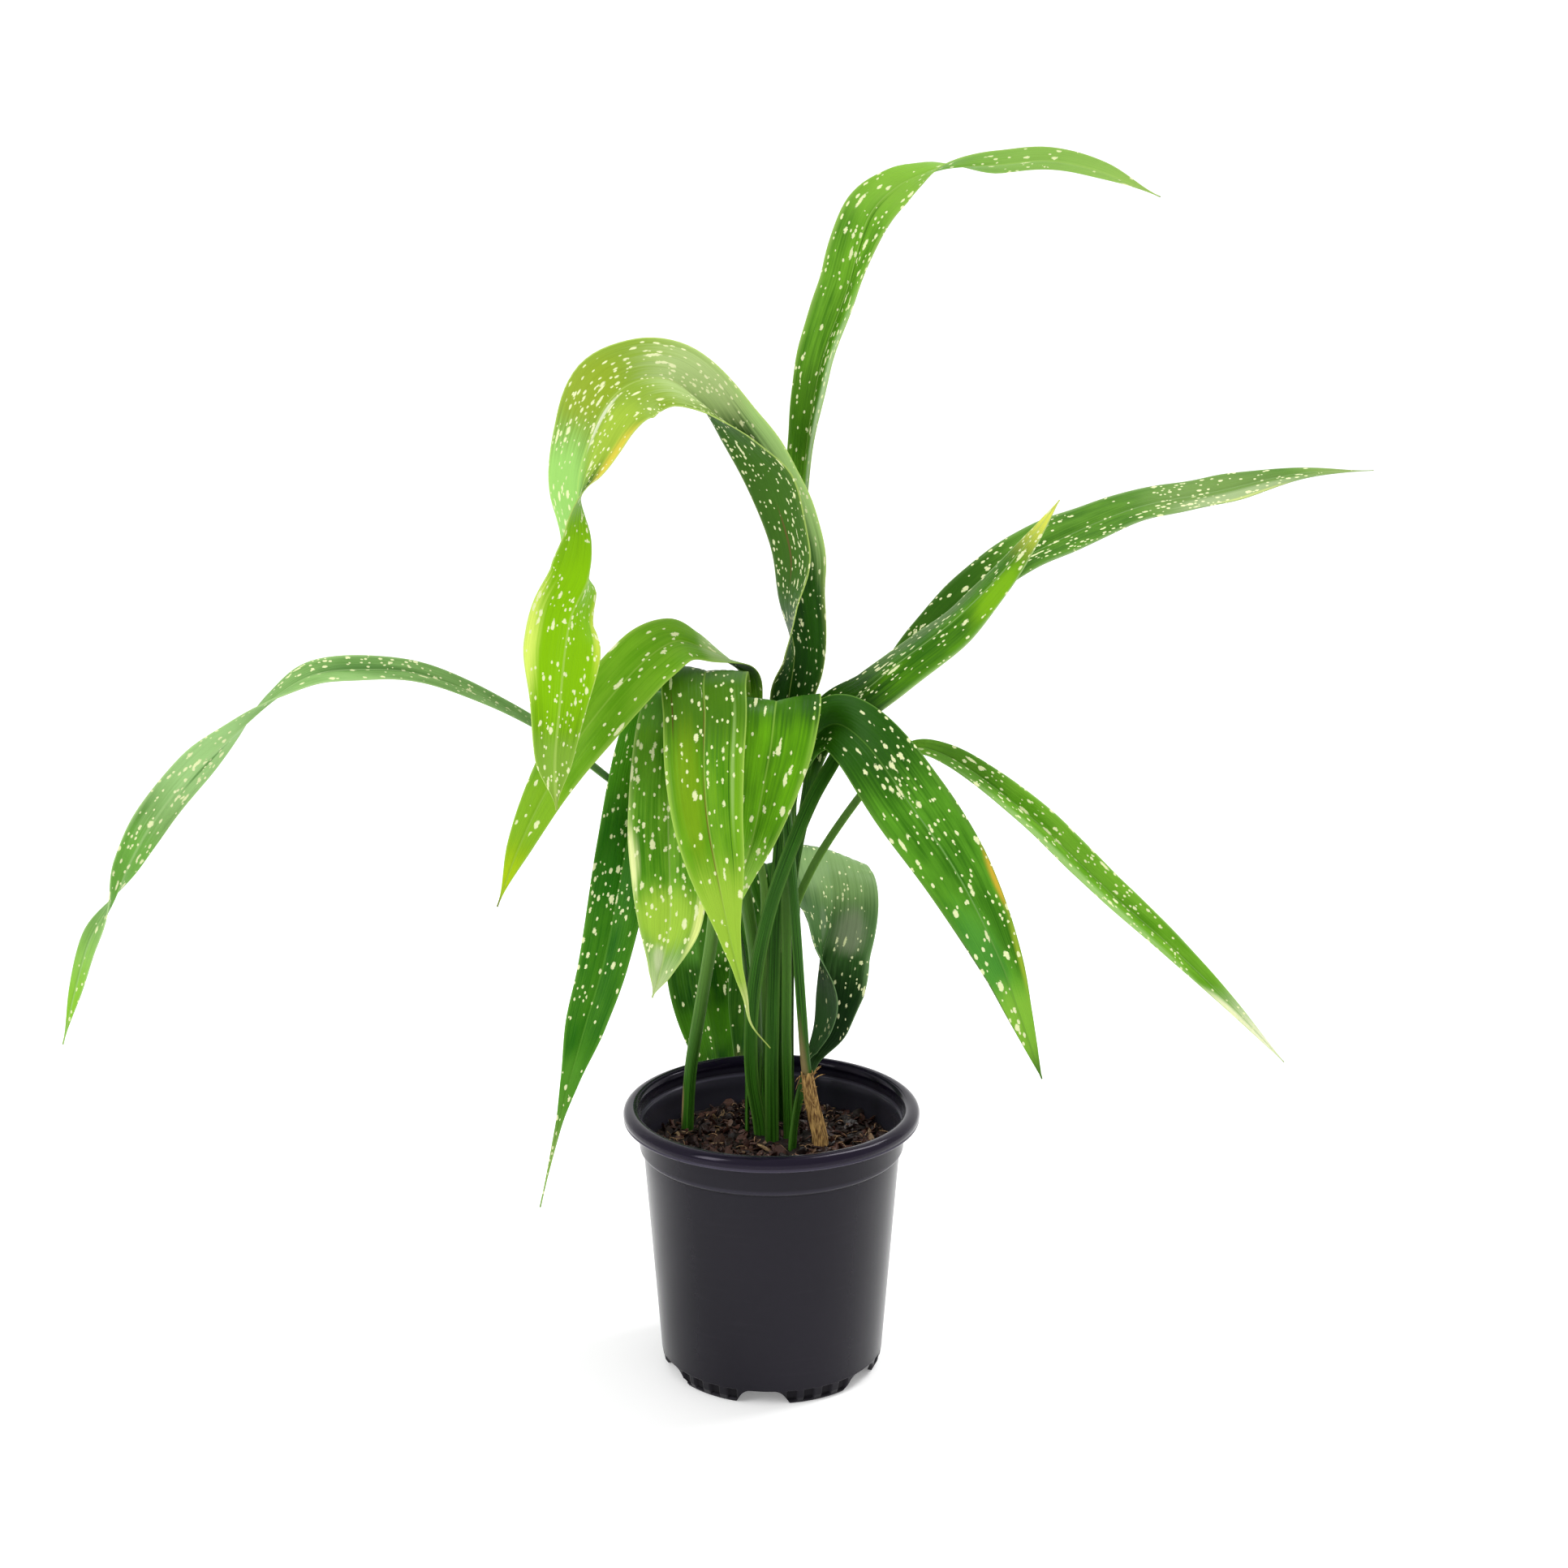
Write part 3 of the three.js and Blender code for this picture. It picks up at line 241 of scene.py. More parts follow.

# How each leaf looks: the deep and the light green of its face, the colour of its margin, the colour it fades
# to at the tip and where that starts, how many spots it has and how large they are, how much paler its stalk
# is painted higher up, out of the painted shade low in the bundle, and its marks. A mark is a soft patch: the
# place across (-1 to 1) and along (0 to 1), the size each way, the colour, the strength, and 1 or -1 where it
# is on the upper or the lower face only. Marks that are painted light or shade are noted above their lines.
LOOKS = {
    "tall": ("#45800a", "#77b42a", "#a4c864", "#d4e08c", 0.95, 0.8, 1, 0, [
        (0, 0.61, 3, 0.06, "#3a6c08", 0.7), (0, 0.82, 3, 0.07, "#8cbe40", 0.85, 1),
        # painted light: the pale strip at across 1, along 0.6, on the side that faces the light
        (1, 0.6, 0.5, 0.13, "#b6d29c", 0.9, 1), (0.15, 0.71, 0.07, 0.1, "#1f5006", 0.75, 1),
        (0, 0.93, 3, 0.12, "#94c058", 0.9, -1),
    ]),
    "arch": ("#123a02", "#2f660a", "#c4de76", "#a4c24a", 0.98, 0.95, 0.75, 0, [
        # painted shade: the dark band at along 0.38, low in the bundle of stalks
        (0, 0.53, 3, 0.12, "#44701e", 0.9, -1), (0, 0.38, 3, 0.09, "#1c4c04", 0.7),
        # painted light: the pale outer strip at across 1, along 0.56, where light falls on the rise
        (1, 0.56, 0.55, 0.12, "#b6de84", 0.95, 1), (0, 0.68, 3, 0.1, "#94b43c", 0.95, 1),
        (0.2, 0.63, 1.3, 0.05, "#c0d890", 0.8, 1), (0.5, 0.7, 0.8, 0.03, "#9cb424", 0.6, 1),
        (0.6, 0.77, 1.4, 0.06, "#aae474", 0.9, 1), (-0.5, 0.73, 0.6, 0.05, "#b4d444", 0.7, 1),
        (-1, 0.745, 0.3, 0.045, "#e8d44a", 0.85, 1), (-0.08, 0.715, 0.07, 0.03, "#e6eec8", 0.9, 1),
        (0, 0.87, 3, 0.14, "#8ac604", 1, -1), (-1, 0.885, 0.45, 0.05, "#ecff74", 0.9, -1),
        (1, 0.87, 0.25, 0.05, "#d6e850", 0.8, -1), (0, 0.97, 3, 0.03, "#8cb840", 0.7, -1),
        (-0.4, 0.5, 0.035, 0.035, "#6a5a2c", 0.9, -1),
    ]),
    "right_high": ("#3c7012", "#60942a", "#94b474", "#a8c070", 0.96, 0.9, 0.85, 0, [
        (0, 0.58, 3, 0.1, "#2f5e0c", 0.75), (0.2, 0.85, 2, 0.1, "#7c9c50", 0.7),
        # painted sheen: the pale grey-green patch at across 0.75, along 0.87
        (0.75, 0.87, 0.6, 0.09, "#acc08c", 0.75), (1, 0.88, 0.2, 0.05, "#d0dc80", 0.8),
    ]),
    "right_mid": ("#2f6804", "#5a960c", "#a5c67c", "#f4f664", 0.95, 0.8, 1, 0, [
        # painted reflection: the greyish far half at across -0.75, along 0.78, where the pale room shines on
        # it at a glancing angle
        (-0.75, 0.78, 0.45, 0.13, "#58783c", 0.7), (0, 0.63, 3, 0.1, "#123a06", 0.85),
        (0.6, 0.87, 0.8, 0.06, "#88c00e", 0.8),
    ]),
    "right_droop": ("#35720a", "#5ea024", "#6c9c3c", "#4a6a28", 0.985, 0.8, 1, 0.25, [
        (0, 0.58, 3, 0.11, "#225406", 0.9), (-1, 0.79, 0.24, 0.045, "#dcb638", 0.9),
        (-1, 0.87, 0.3, 0.06, "#a8c034", 0.75), (0.5, 0.87, 1, 0.1, "#54a03c", 0.6),
        (0, 0.94, 3, 0.06, "#8cc23c", 0.8), (1, 0.88, 0.06, 0.1, "#4a3444", 0.8),
        (0, 0.76, 0.035, 0.16, "#8cbc74", 0.6),
    ]),
    "right_low": ("#58980f", "#78b22e", "#a4cc74", "#fcfcdc", 0.94, 0.9, 0.8, 0.7, [
        (0, 0.56, 3, 0.06, "#467c14", 0.7), (0.9, 0.72, 0.45, 0.2, "#a8d07c", 0.75),
        (0.9, 0.93, 0.8, 0.05, "#f4f6c8", 0.9),
    ]),
    # painted sheen: this leaf's deep and light greens are paler and greyer, for the hazy light on it
    "left_far": ("#689848", "#98c474", "#b4d690", "#92cc36", 0.94, 0.9, 0.8, 0, [
        (0, 0.57, 3, 0.05, "#76a254", 0.6), (0, 0.76, 3, 0.06, "#acd88c", 0.85, -1),
        (0.1, 0.62, 0.35, 0.09, "#4c7e36", 0.6, 1), (0, 0.86, 3, 0.045, "#70b43c", 0.7, -1),
        (0.3, 0.77, 0.12, 0.03, "#488232", 0.7, -1),
    ]),
    "left_pale": ("#62a00e", "#7cb424", "#a6cc54", "#b8d60c", 0.95, 0.35, 1, 0.4, [
        # painted shade on the dark lower face at along 0.6, and a painted highlight along the crest at along
        # 0.615
        (0, 0.6, 3, 0.07, "#1c4806", 0.9, -1), (0, 0.615, 2, 0.03, "#b8d884", 0.8, 1),
        (0, 0.9, 2, 0.05, "#92c228", 0.7), (0, 1, 3, 0.014, "#5c3c18", 0.95),
    ]),
    "left_dark": ("#216804", "#448414", "#64a034", "#b4d474", 0.94, 0.9, 0.9, 0.7, [
        (0, 0.58, 3, 0.07, "#509418", 0.75), (0, 0.68, 2, 0.06, "#266c06", 0.6),
        (0, 0.9, 2, 0.05, "#5c9c2c", 0.6),
    ]),
    "front_yellow": ("#448606", "#7ab42c", "#bcd878", "#c2d498", 0.965, 1.0, 1, 0.3, [
        (0, 0.74, 2, 0.06, "#448608", 0.5), (0, 0.665, 3, 0.04, "#7cb848", 0.9),
        (0.1, 0.91, 1.4, 0.05, "#acd244", 0.85), (1, 0.84, 0.3, 0.05, "#f8feb4", 0.95),
        (-1, 0.91, 0.35, 0.05, "#f2fa9c", 0.9), (0.3, 0.955, 0.4, 0.02, "#d8e0b4", 0.6),
    ]),
    "front_centre": ("#4c8c06", "#76ae1c", "#b0d45c", "#c4d27c", 0.93, 0.5, 1, 0.55, [
        # painted shade: the darker top at along 0.64, in the shade of the leaves above
        (0, 0.64, 3, 0.08, "#447410", 0.85), (0, 0.6, 2, 0.03, "#5c8444", 0.6),
        (0.45, 0.74, 0.45, 0.1, "#84a812", 0.6), (0, 0.88, 3, 0.09, "#a6cc40", 0.85),
        (0.02, 0.67, 0.03, 0.05, "#5a4414", 0.9), (0.03, 0.79, 0.035, 0.1, "#70501c", 0.85),
        (0.78, 0.66, 0.025, 0.035, "#5a4018", 0.8), (-0.72, 0.72, 0.07, 0.1, "#a9cc74", 0.6),
        (-0.62, 0.75, 0.025, 0.13, "#2f6808", 0.8), (0, 0.955, 3, 0.03, "#d0dc8c", 0.8),
        (0, 0.99, 3, 0.02, "#6c5c38", 0.85), (1, 0.07, 0.45, 0.03, "#b09a68", 0.9),
    ]),
    "front_right": ("#468206", "#6cb00e", "#a8d058", "#a4d454", 0.93, 0.6, 1, 0, [
        # painted shade over the top at along 0.7, and a painted shadow, a dark triangle, at across -0.9
        (0, 0.7, 3, 0.07, "#33660e", 0.8), (-0.9, 0.7, 0.6, 0.045, "#2c5818", 0.75),
        (0.2, 0.69, 1, 0.02, "#5c8844", 0.6), (0.6, 0.13, 1.1, 0.13, "#a48e64", 0.95),
    ]),
    "back_right": ("#1c4410", "#446c34", "#84a870", "#6c9050", 0.98, 0.45, 0.75, 0, [
        (0, 0.51, 2, 0.07, "#5a8048", 0.7, 1), (0.2, 0.62, 1.8, 0.11, "#8cb06c", 0.9, 1),
        # painted highlight: the grey patch at across 0.45, along 0.5
        (0.45, 0.5, 0.45, 0.06, "#a4a890", 0.5, 1), (-0.3, 0.5, 0.2, 0.05, "#8c9c80", 0.35, 1),
        (0, 0.47, 0.035, 0.09, "#0b2806", 0.85, 1), (0, 0.33, 3, 0.12, "#082c04", 0.9, 1),
        (0, 0.28, 3, 0.12, "#44703a", 0.85, -1),
    ]),
    "back_left": ("#124804", "#3e7410", "#568a2c", "#5d9a38", 0.97, 0.55, 1, 0, [
        (0, 0.86, 2, 0.05, "#4f9012", 0.5), (0, 0.72, 3, 0.05, "#5c9a30", 0.8),
    ]),
    "back_centre": ("#164a04", "#3e7014", "#4c7c2c", "#8a7c48", 0.96, 0.4, 1, 0, [
        (0.45, 0.84, 0.18, 0.014, "#94643c", 0.9), (0.95, 0.78, 0.14, 0.02, "#94643c", 0.9),
        (0.15, 0.56, 0.2, 0.03, "#d6e27c", 0.85),
    ]),
}


def linear(colour):
    """A written #rrggbb colour as the linear values that shaders take."""
    parts = (int(colour[i:i + 2], 16) / 255 for i in (1, 3, 5))
    return tuple(c / 12.92 if c <= 0.04045 else ((c + 0.055) / 1.055) ** 2.4 for c in parts) + (1,)


def lerp(a, b, share):
    return a + (b - a) * share


def smoothstep(x, low, high):
    share = np.clip((x - low) / (high - low), 0, 1)
    return share * share * (3 - 2 * share)


def unit(vectors):
    return vectors / np.linalg.norm(vectors, axis=-1, keepdims=True)


# Material building

class Material:
    """A material under construction, with short names for its nodes. Colours are written as #rrggbb."""

    def __init__(self, name):
        self.material = bpy.data.materials.new(name)
        self.material.use_nodes = True
        self.tree = self.material.node_tree
        self.tree.nodes.clear()

    def feed(self, socket, value):
        if isinstance(value, bpy.types.NodeSocket):
            self.tree.links.new(value, socket)
        else:
            socket.default_value = linear(value) if isinstance(value, str) else value

    def node(self, kind, feeds=(), **settings):
        made = self.tree.nodes.new("ShaderNode" + kind)
        for key, value in settings.items():
            setattr(made, key, value)
        for key, value in dict(feeds).items():
            self.feed(made.inputs[key], value)
        return made

    def math(self, operation, *values):
        return self.node("Math", enumerate(values), operation=operation).outputs[0]

    def times(self, a, b):
        return self.math("MULTIPLY", a, b)

    def scaled(self, value, gain, offset):
        """value * gain + offset"""
        return self.math("MULTIPLY_ADD", value, gain, offset)

    def mix(self, share, a, b):
        return self.node("Mix", {0: share, 6: a, 7: b}, data_type="RGBA").outputs[2]

    def tint(self, colour, other, share, strength):
        """A colour with another one mixed in."""
        return self.mix(self.times(share, strength), colour, other)

    def step(self, value, low, high):
        """0 below low and 1 above high, with a smooth step between. high may be the smaller one."""
        return self.node("MapRange", {0: value, 1: low, 2: high}, interpolation_type="SMOOTHSTEP").outputs[0]

    def noise(self, vector, scale, detail=2):
        return self.node("TexNoise", {"Vector": vector, "Scale": scale, "Detail": detail}).outputs["Fac"]

    def cells(self, vector):
        made = self.node("TexVoronoi", {"Vector": vector, "Scale": 1}, voronoi_dimensions="2D")
        return made.outputs["Distance"], self.split(made.outputs["Color"])

    def split(self, vector):
        return self.node("SeparateXYZ", {0: vector}).outputs

    def join(self, x, y, z=0):
        return self.node("CombineXYZ", {0: x, 1: y, 2: z}).outputs[0]

    def place(self):
        """The point's place on the object, in metres."""
        return self.node("TexCoord").outputs["Object"]

    def stretched(self, place, scale):
        return self.node("VectorMath", {0: place, 1: scale}, operation="MULTIPLY").outputs[0]

    def attribute(self, name, output="Fac"):
        return self.node("Attribute", attribute_name=name).outputs[output]

    def bump(self, height, distance, strength):
        return self.node("Bump", {"Height": height, "Distance": distance, "Strength": strength}).outputs[0]

    def principled(self, colour, roughness, feeds):
        return self.node("BsdfPrincipled", {"Base Color": colour, "Roughness": roughness, **feeds}).outputs[0]

    def finish(self, surface):
        self.node("OutputMaterial", {"Surface": surface})
        return self.material


# Meshes

def placed(name, data):
    """A new object in the scene that shows a mesh, a lamp or a camera."""
    made = bpy.data.objects.new(name, data)
    bpy.context.scene.collection.objects.link(made)
    return made


def mesh_object(name, vertices, faces, material, smooth=True):
    """A mesh object from points in metres."""
    mesh = bpy.data.meshes.new(name)
    mesh.from_pydata(vertices, [], faces)
    mesh.validate()
    mesh.materials.append(material)
    mesh.polygons.foreach_set("use_smooth", [smooth] * len(mesh.polygons))
    return placed(name, mesh)


def piece(name, points, faces, material, slot, smooth=True):
    """A mesh object from points in millimetres, riding on the plant's one body."""
    made = mesh_object(name, np.reshape(points, (-1, 3)) * MM, faces, material, smooth)
    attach(made, "root")
    return made


def give(made, name, values):
    """Stores one value or vector for each point of a piece."""
    values = np.ravel(values).astype(np.float32)
    single = len(values) == len(made.data.vertices)
    attribute = made.data.attributes.new(name, "FLOAT" if single else "FLOAT_VECTOR", "POINT")
    attribute.data.foreach_set("value" if single else "vector", values)


def ring_faces(rings, count, capped=True):
    """Faces between closed rings of count points each, with a cap on the first and the last ring."""
    i, j = np.meshgrid(np.arange(rings - 1), np.arange(count), indexing="ij")
    a = i * count + j
    b = i * count + (j + 1) % count
    faces = np.stack([a, b, b + count, a + count], -1).reshape(-1, 4).tolist()
    if capped:
        last = (rings - 1) * count
        faces += [list(range(count))[::-1], list(range(last, last + count))]
    return faces


def circle(steps):
    return np.linspace(0, TURN, steps, endpoint=False)


# Leaves

def stations(leaf):
    """The points of a leaf's spine, each with its roll, fold and half width."""
    stalk = (leaf["roll"], STALK_FOLD, leaf["stalk"])
    feet = [(*leaf["foot"], height) for height in STALK_BOTTOMS]
    return np.array([(*point, *stalk[len(point) - 3:]) for point in feet + leaf["spine"]], float)


def spine_curve(points, steps):
    """Points on a centripetal Catmull-Rom curve through the given ones, and their places counted in spans."""
    ends = np.vstack([2 * points[0] - points[1], points, 2 * points[-1] - points[-2]])
    place = np.linspace(0, len(points) - 1, steps + 1)
    span = np.minimum(place.astype(int), len(points) - 2)
    x0, x1, x2, x3 = (ends[span + k] for k in range(4))
    d0, d1, d2 = (np.sqrt(np.linalg.norm(b - a, axis=1))[:, None] for a, b in ((x0, x1), (x1, x2), (x2, x3)))
    m1 = ((x1 - x0) / d0 - (x2 - x0) / (d0 + d1) + (x2 - x1) / d1) * d1
    m2 = ((x2 - x1) / d1 - (x3 - x1) / (d1 + d2) + (x3 - x2) / d2) * d1
    t = (place - span)[:, None]
    curve = x1 + m1 * t + (-3 * x1 + 3 * x2 - 2 * m1 - m2) * t ** 2 + (2 * x1 - 2 * x2 + m1 + m2) * t ** 3
    return curve, place


def eased(values, place):
    """Values between stations on a smooth curve that never overshoots them."""
    rise = np.diff(values)
    slope = np.zeros(len(values))
    same = rise[:-1] * rise[1:] > 0
    slope[1:-1][same] = 2 * rise[:-1][same] * rise[1:][same] / (rise[:-1] + rise[1:])[same]
    span = np.minimum(place.astype(int), len(values) - 2)
    t = place - span
    return (
        values[span] * (2 * t ** 3 - 3 * t ** 2 + 1)
        + values[span + 1] * (3 * t ** 2 - 2 * t ** 3)
        + slope[span] * (t ** 3 - 2 * t ** 2 + t)
        + slope[span + 1] * (t ** 3 - t ** 2)
    )


def lance_half_width(leaf, along):
    """Half the width at a share of the leaf's length: a stalk, then a lance-shaped blade to a sharp tip."""
    width, start, belly = leaf["lance"]
    share = np.clip((along - start) / (1 - start), 0, 1)
    blade = width * np.sin(math.pi * share ** (math.log(0.5) / math.log(belly)))
    before_belly = along < start + (1 - start) * belly
    return np.maximum(blade, np.where(before_belly, leaf["stalk"], TIP_HALF_WIDTH))


def leaf_frames(leaf, rings):
    """The leaf's spine at a number of rings, which lie closer where it bends."""
    points = stations(leaf)
    curve, place = spine_curve(points[:, :3], 1500)
    tangent = unit(np.gradient(curve, axis=0))
    roll, fold, half = (eased(column, place) for column in points[:, 3:].T)
    steps = np.linalg.norm(np.diff(curve, axis=0), axis=1)
    bends = np.arccos(np.clip((tangent[1:] * tangent[:-1]).sum(1), -1, 1))
    length = np.concatenate([[0], np.cumsum(steps)])
    effort = np.concatenate([[0], np.cumsum(steps + BEND_WEIGHT * bends)])
    along = length / length[-1]
    if "lance" in leaf:
        half = lance_half_width(leaf, along)
    else:
        sharper = np.maximum(half - 0.8 * smoothstep(along, 0.9, 1), TIP_HALF_WIDTH)
        half = np.where(along > 0.9, sharper, half)
    heading = math.radians(leaf["heading"])
    side = np.array([math.sin(heading), -math.cos(heading), 0])
    flat = unit(side - tangent * (tangent @ side)[:, None])
    turn = -np.radians(roll)[:, None]
    across = flat * np.cos(turn) + np.cross(tangent, flat) * np.sin(turn)
    at = np.linspace(0, effort[-1], rings)

    def pick(values):
        picked = [np.interp(at, effort, column) for column in values.reshape(len(effort), -1).T]
        return np.stack(picked, -1).squeeze()

    across = unit(pick(across))
    tangent = unit(pick(tangent))
    return {
        "centre": pick(curve), "across": across, "up": np.cross(across, tangent), "fold": pick(fold),
        "half": pick(half), "along": pick(along), "run": pick(length),
    }


def waves(run, random, sizes):
    """A slow irregular wave along the leaf: each size is a wavelength and a height."""
    return sum(
        height * np.sin(TURN * run / (wavelength * random.uniform(0.85, 1.2)) + random.uniform(0, 6.3))
        for wavelength, height in sizes
    )


def leaf_section(leaf, frames, random):
    """The blade's middle surface, sideways and above the rib, and its thickness each way."""
    s = np.linspace(-1, 1, LEAF_COLUMNS)[None, :]
    half = frames["half"][:, None]
    run = frames["run"][:, None]
    least_open = smoothstep(frames["along"], 0.7, 0.86)
    opened = np.clip(np.maximum((frames["half"] - leaf["stalk"]) / OPENING_WIDTH, least_open), 0, 1)[:, None]
    rounding = lerp(0.3, 0.05, opened)
    reach = np.sqrt(s ** 2 + rounding ** 2) - rounding
    lift = np.radians(lerp(STALK_FOLD, frames["fold"][:, None], opened)) * (1.25 - 0.25 * reach)
    left, right = (waves(run, random, ((long, 0.5), (short, 0.22))) for long, short in ((70, 31), (62, 37)))
    sway = np.where(s < 0, left, right)
    edge_share = np.clip(half / 18, 0, 1.4) * opened
    pleats = 0.11 * np.cos(TURN * 5 * s) * np.abs(s) ** 0.5 * (1 - s ** 8)
    sideways = half * s * np.cos(lift)
    upward = half * reach * np.sin(lift) + edge_share * (sway * s ** 2 + pleats * (half / 18))
    upward = upward + opened * 0.035 * half * np.sin(math.pi * np.abs(s))
    body = np.abs(s) ** lerp(2, 0.7, opened)
    thickness = lerp(lerp(STALK_THICKNESS, RIB_THICKNESS, opened), EDGE_THICKNESS, body)
    over = thickness * lerp(0.34, 0.5, opened) - opened * 0.35 * np.exp(-((s * half) / 0.7) ** 2)
    under = thickness * 0.5 + opened * 0.45 * np.exp(-((s * half) / 1.3) ** 2)
    thin = np.clip(half / 3, 0.25, 1)
    return sideways, upward, over * thin, under * thin, opened, s


def leaf_surface(leaf, seed):
    """Rings of points round a leaf, and each point's place on it: a gutter-shaped stalk that opens into a
    thin pleated blade folded along its rib."""
    frames = leaf_frames(leaf, LEAF_RINGS)
    sideways, upward, over, under, opened, s = leaf_section(leaf, frames, np.random.default_rng(seed))
    slope_x = np.gradient(sideways, axis=1)
    slope_y = np.gradient(upward, axis=1)
    size = np.hypot(slope_x, slope_y)
    slope_x, slope_y = slope_x / size, slope_y / size

    def moved(out, up):
        return np.stack([sideways + slope_x * out - slope_y * up, upward + slope_y * out + slope_x * up], -1)

    lip = (over + under) * 0.45
    edges = moved(-lip, 0)[:, :1], moved(lip, 0)[:, -1:]
    section = np.concatenate([moved(0, over), edges[1], moved(0, -under)[:, ::-1], edges[0]], axis=1)
    centre, across, up = (frames[key][:, None, :] for key in ("centre", "across", "up"))
    points = centre + across * section[..., :1] + up * section[..., 1:]
    share = np.concatenate([s[0], [1], s[0, ::-1], [-1]])
    face = np.concatenate([np.ones(LEAF_COLUMNS), [0], -np.ones(LEAF_COLUMNS), [0]])
    along, run, half = (frames[key][:, None] for key in ("along", "run", "half"))

    def spread(*values):
        return np.stack(np.broadcast_arrays(*values, points[..., 0])[:-1], -1)

    return points, {
        "leaf_place": spread(share, along, face),
        "leaf_size": spread(half * share, run, seed),
        "leaf_blade": np.broadcast_to(opened, points.shape[:2]),
    }


def leaf_piece(name, seed):
    """A leaf in place of its node, with a leaf material of its own."""
    points, places = leaf_surface(LEAVES[name], seed)
    node = "leaf_" + name
    slot = next(part["material_slot"] for part in frame["record"]["subparts"] if part["node"] == node)
    made = piece(node + "_fine", points, ring_faces(*points.shape[:2]), leaf_material(name, seed), slot)
    for key, values in places.items():
        give(made, key, values)
    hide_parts(node)


# Each layer of spots: the cells' width, how much longer than wide they are, the least and most radius in
# cells, and the share of cells that hold a spot
SPOT_LAYERS = (
    (7.4, 1.9, 0.08, 0.19, 0.28), (4.3, 2, 0.09, 0.21, 0.36),
    (2.6, 1.7, 0.12, 0.26, 0.2), (5.2, 4.4, 0.1, 0.2, 0.13),
)


def spots(mat, size, share, scale, seed):
    """Cream spots, most of them longer along the veins, in loose clusters."""
    across, along, _ = mat.split(size)
    wander = mat.noise(size, 0.9)
    crowd_place = mat.join(across, mat.times(along, 0.5), seed)
    crowd = mat.step(mat.noise(crowd_place, 0.06), 0.36, 0.64)
    total = None
    for number, (cell, stretch, least, most, filled) in enumerate(SPOT_LAYERS):
        cell *= scale
        x = mat.scaled(across, 1 / cell, seed * 7.3 + number * 3.1)
        x = mat.scaled(wander, 0.22, x)
        y = mat.scaled(along, 1 / (cell * stretch), mat.times(wander, 0.16))
        distance, (here, radius, _) = mat.cells(mat.join(x, y))
        reach = mat.scaled(radius, most - least, least)
        inside = mat.step(mat.math("SUBTRACT", distance, reach), 0.035, -0.035)
        chance = mat.scaled(crowd, share * filled * 1.25, share * filled * 0.3)
        layer = mat.times(inside, mat.math("LESS_THAN", here, chance))
        total = layer if total is None else mat.math("MAXIMUM", total, layer)
    return total


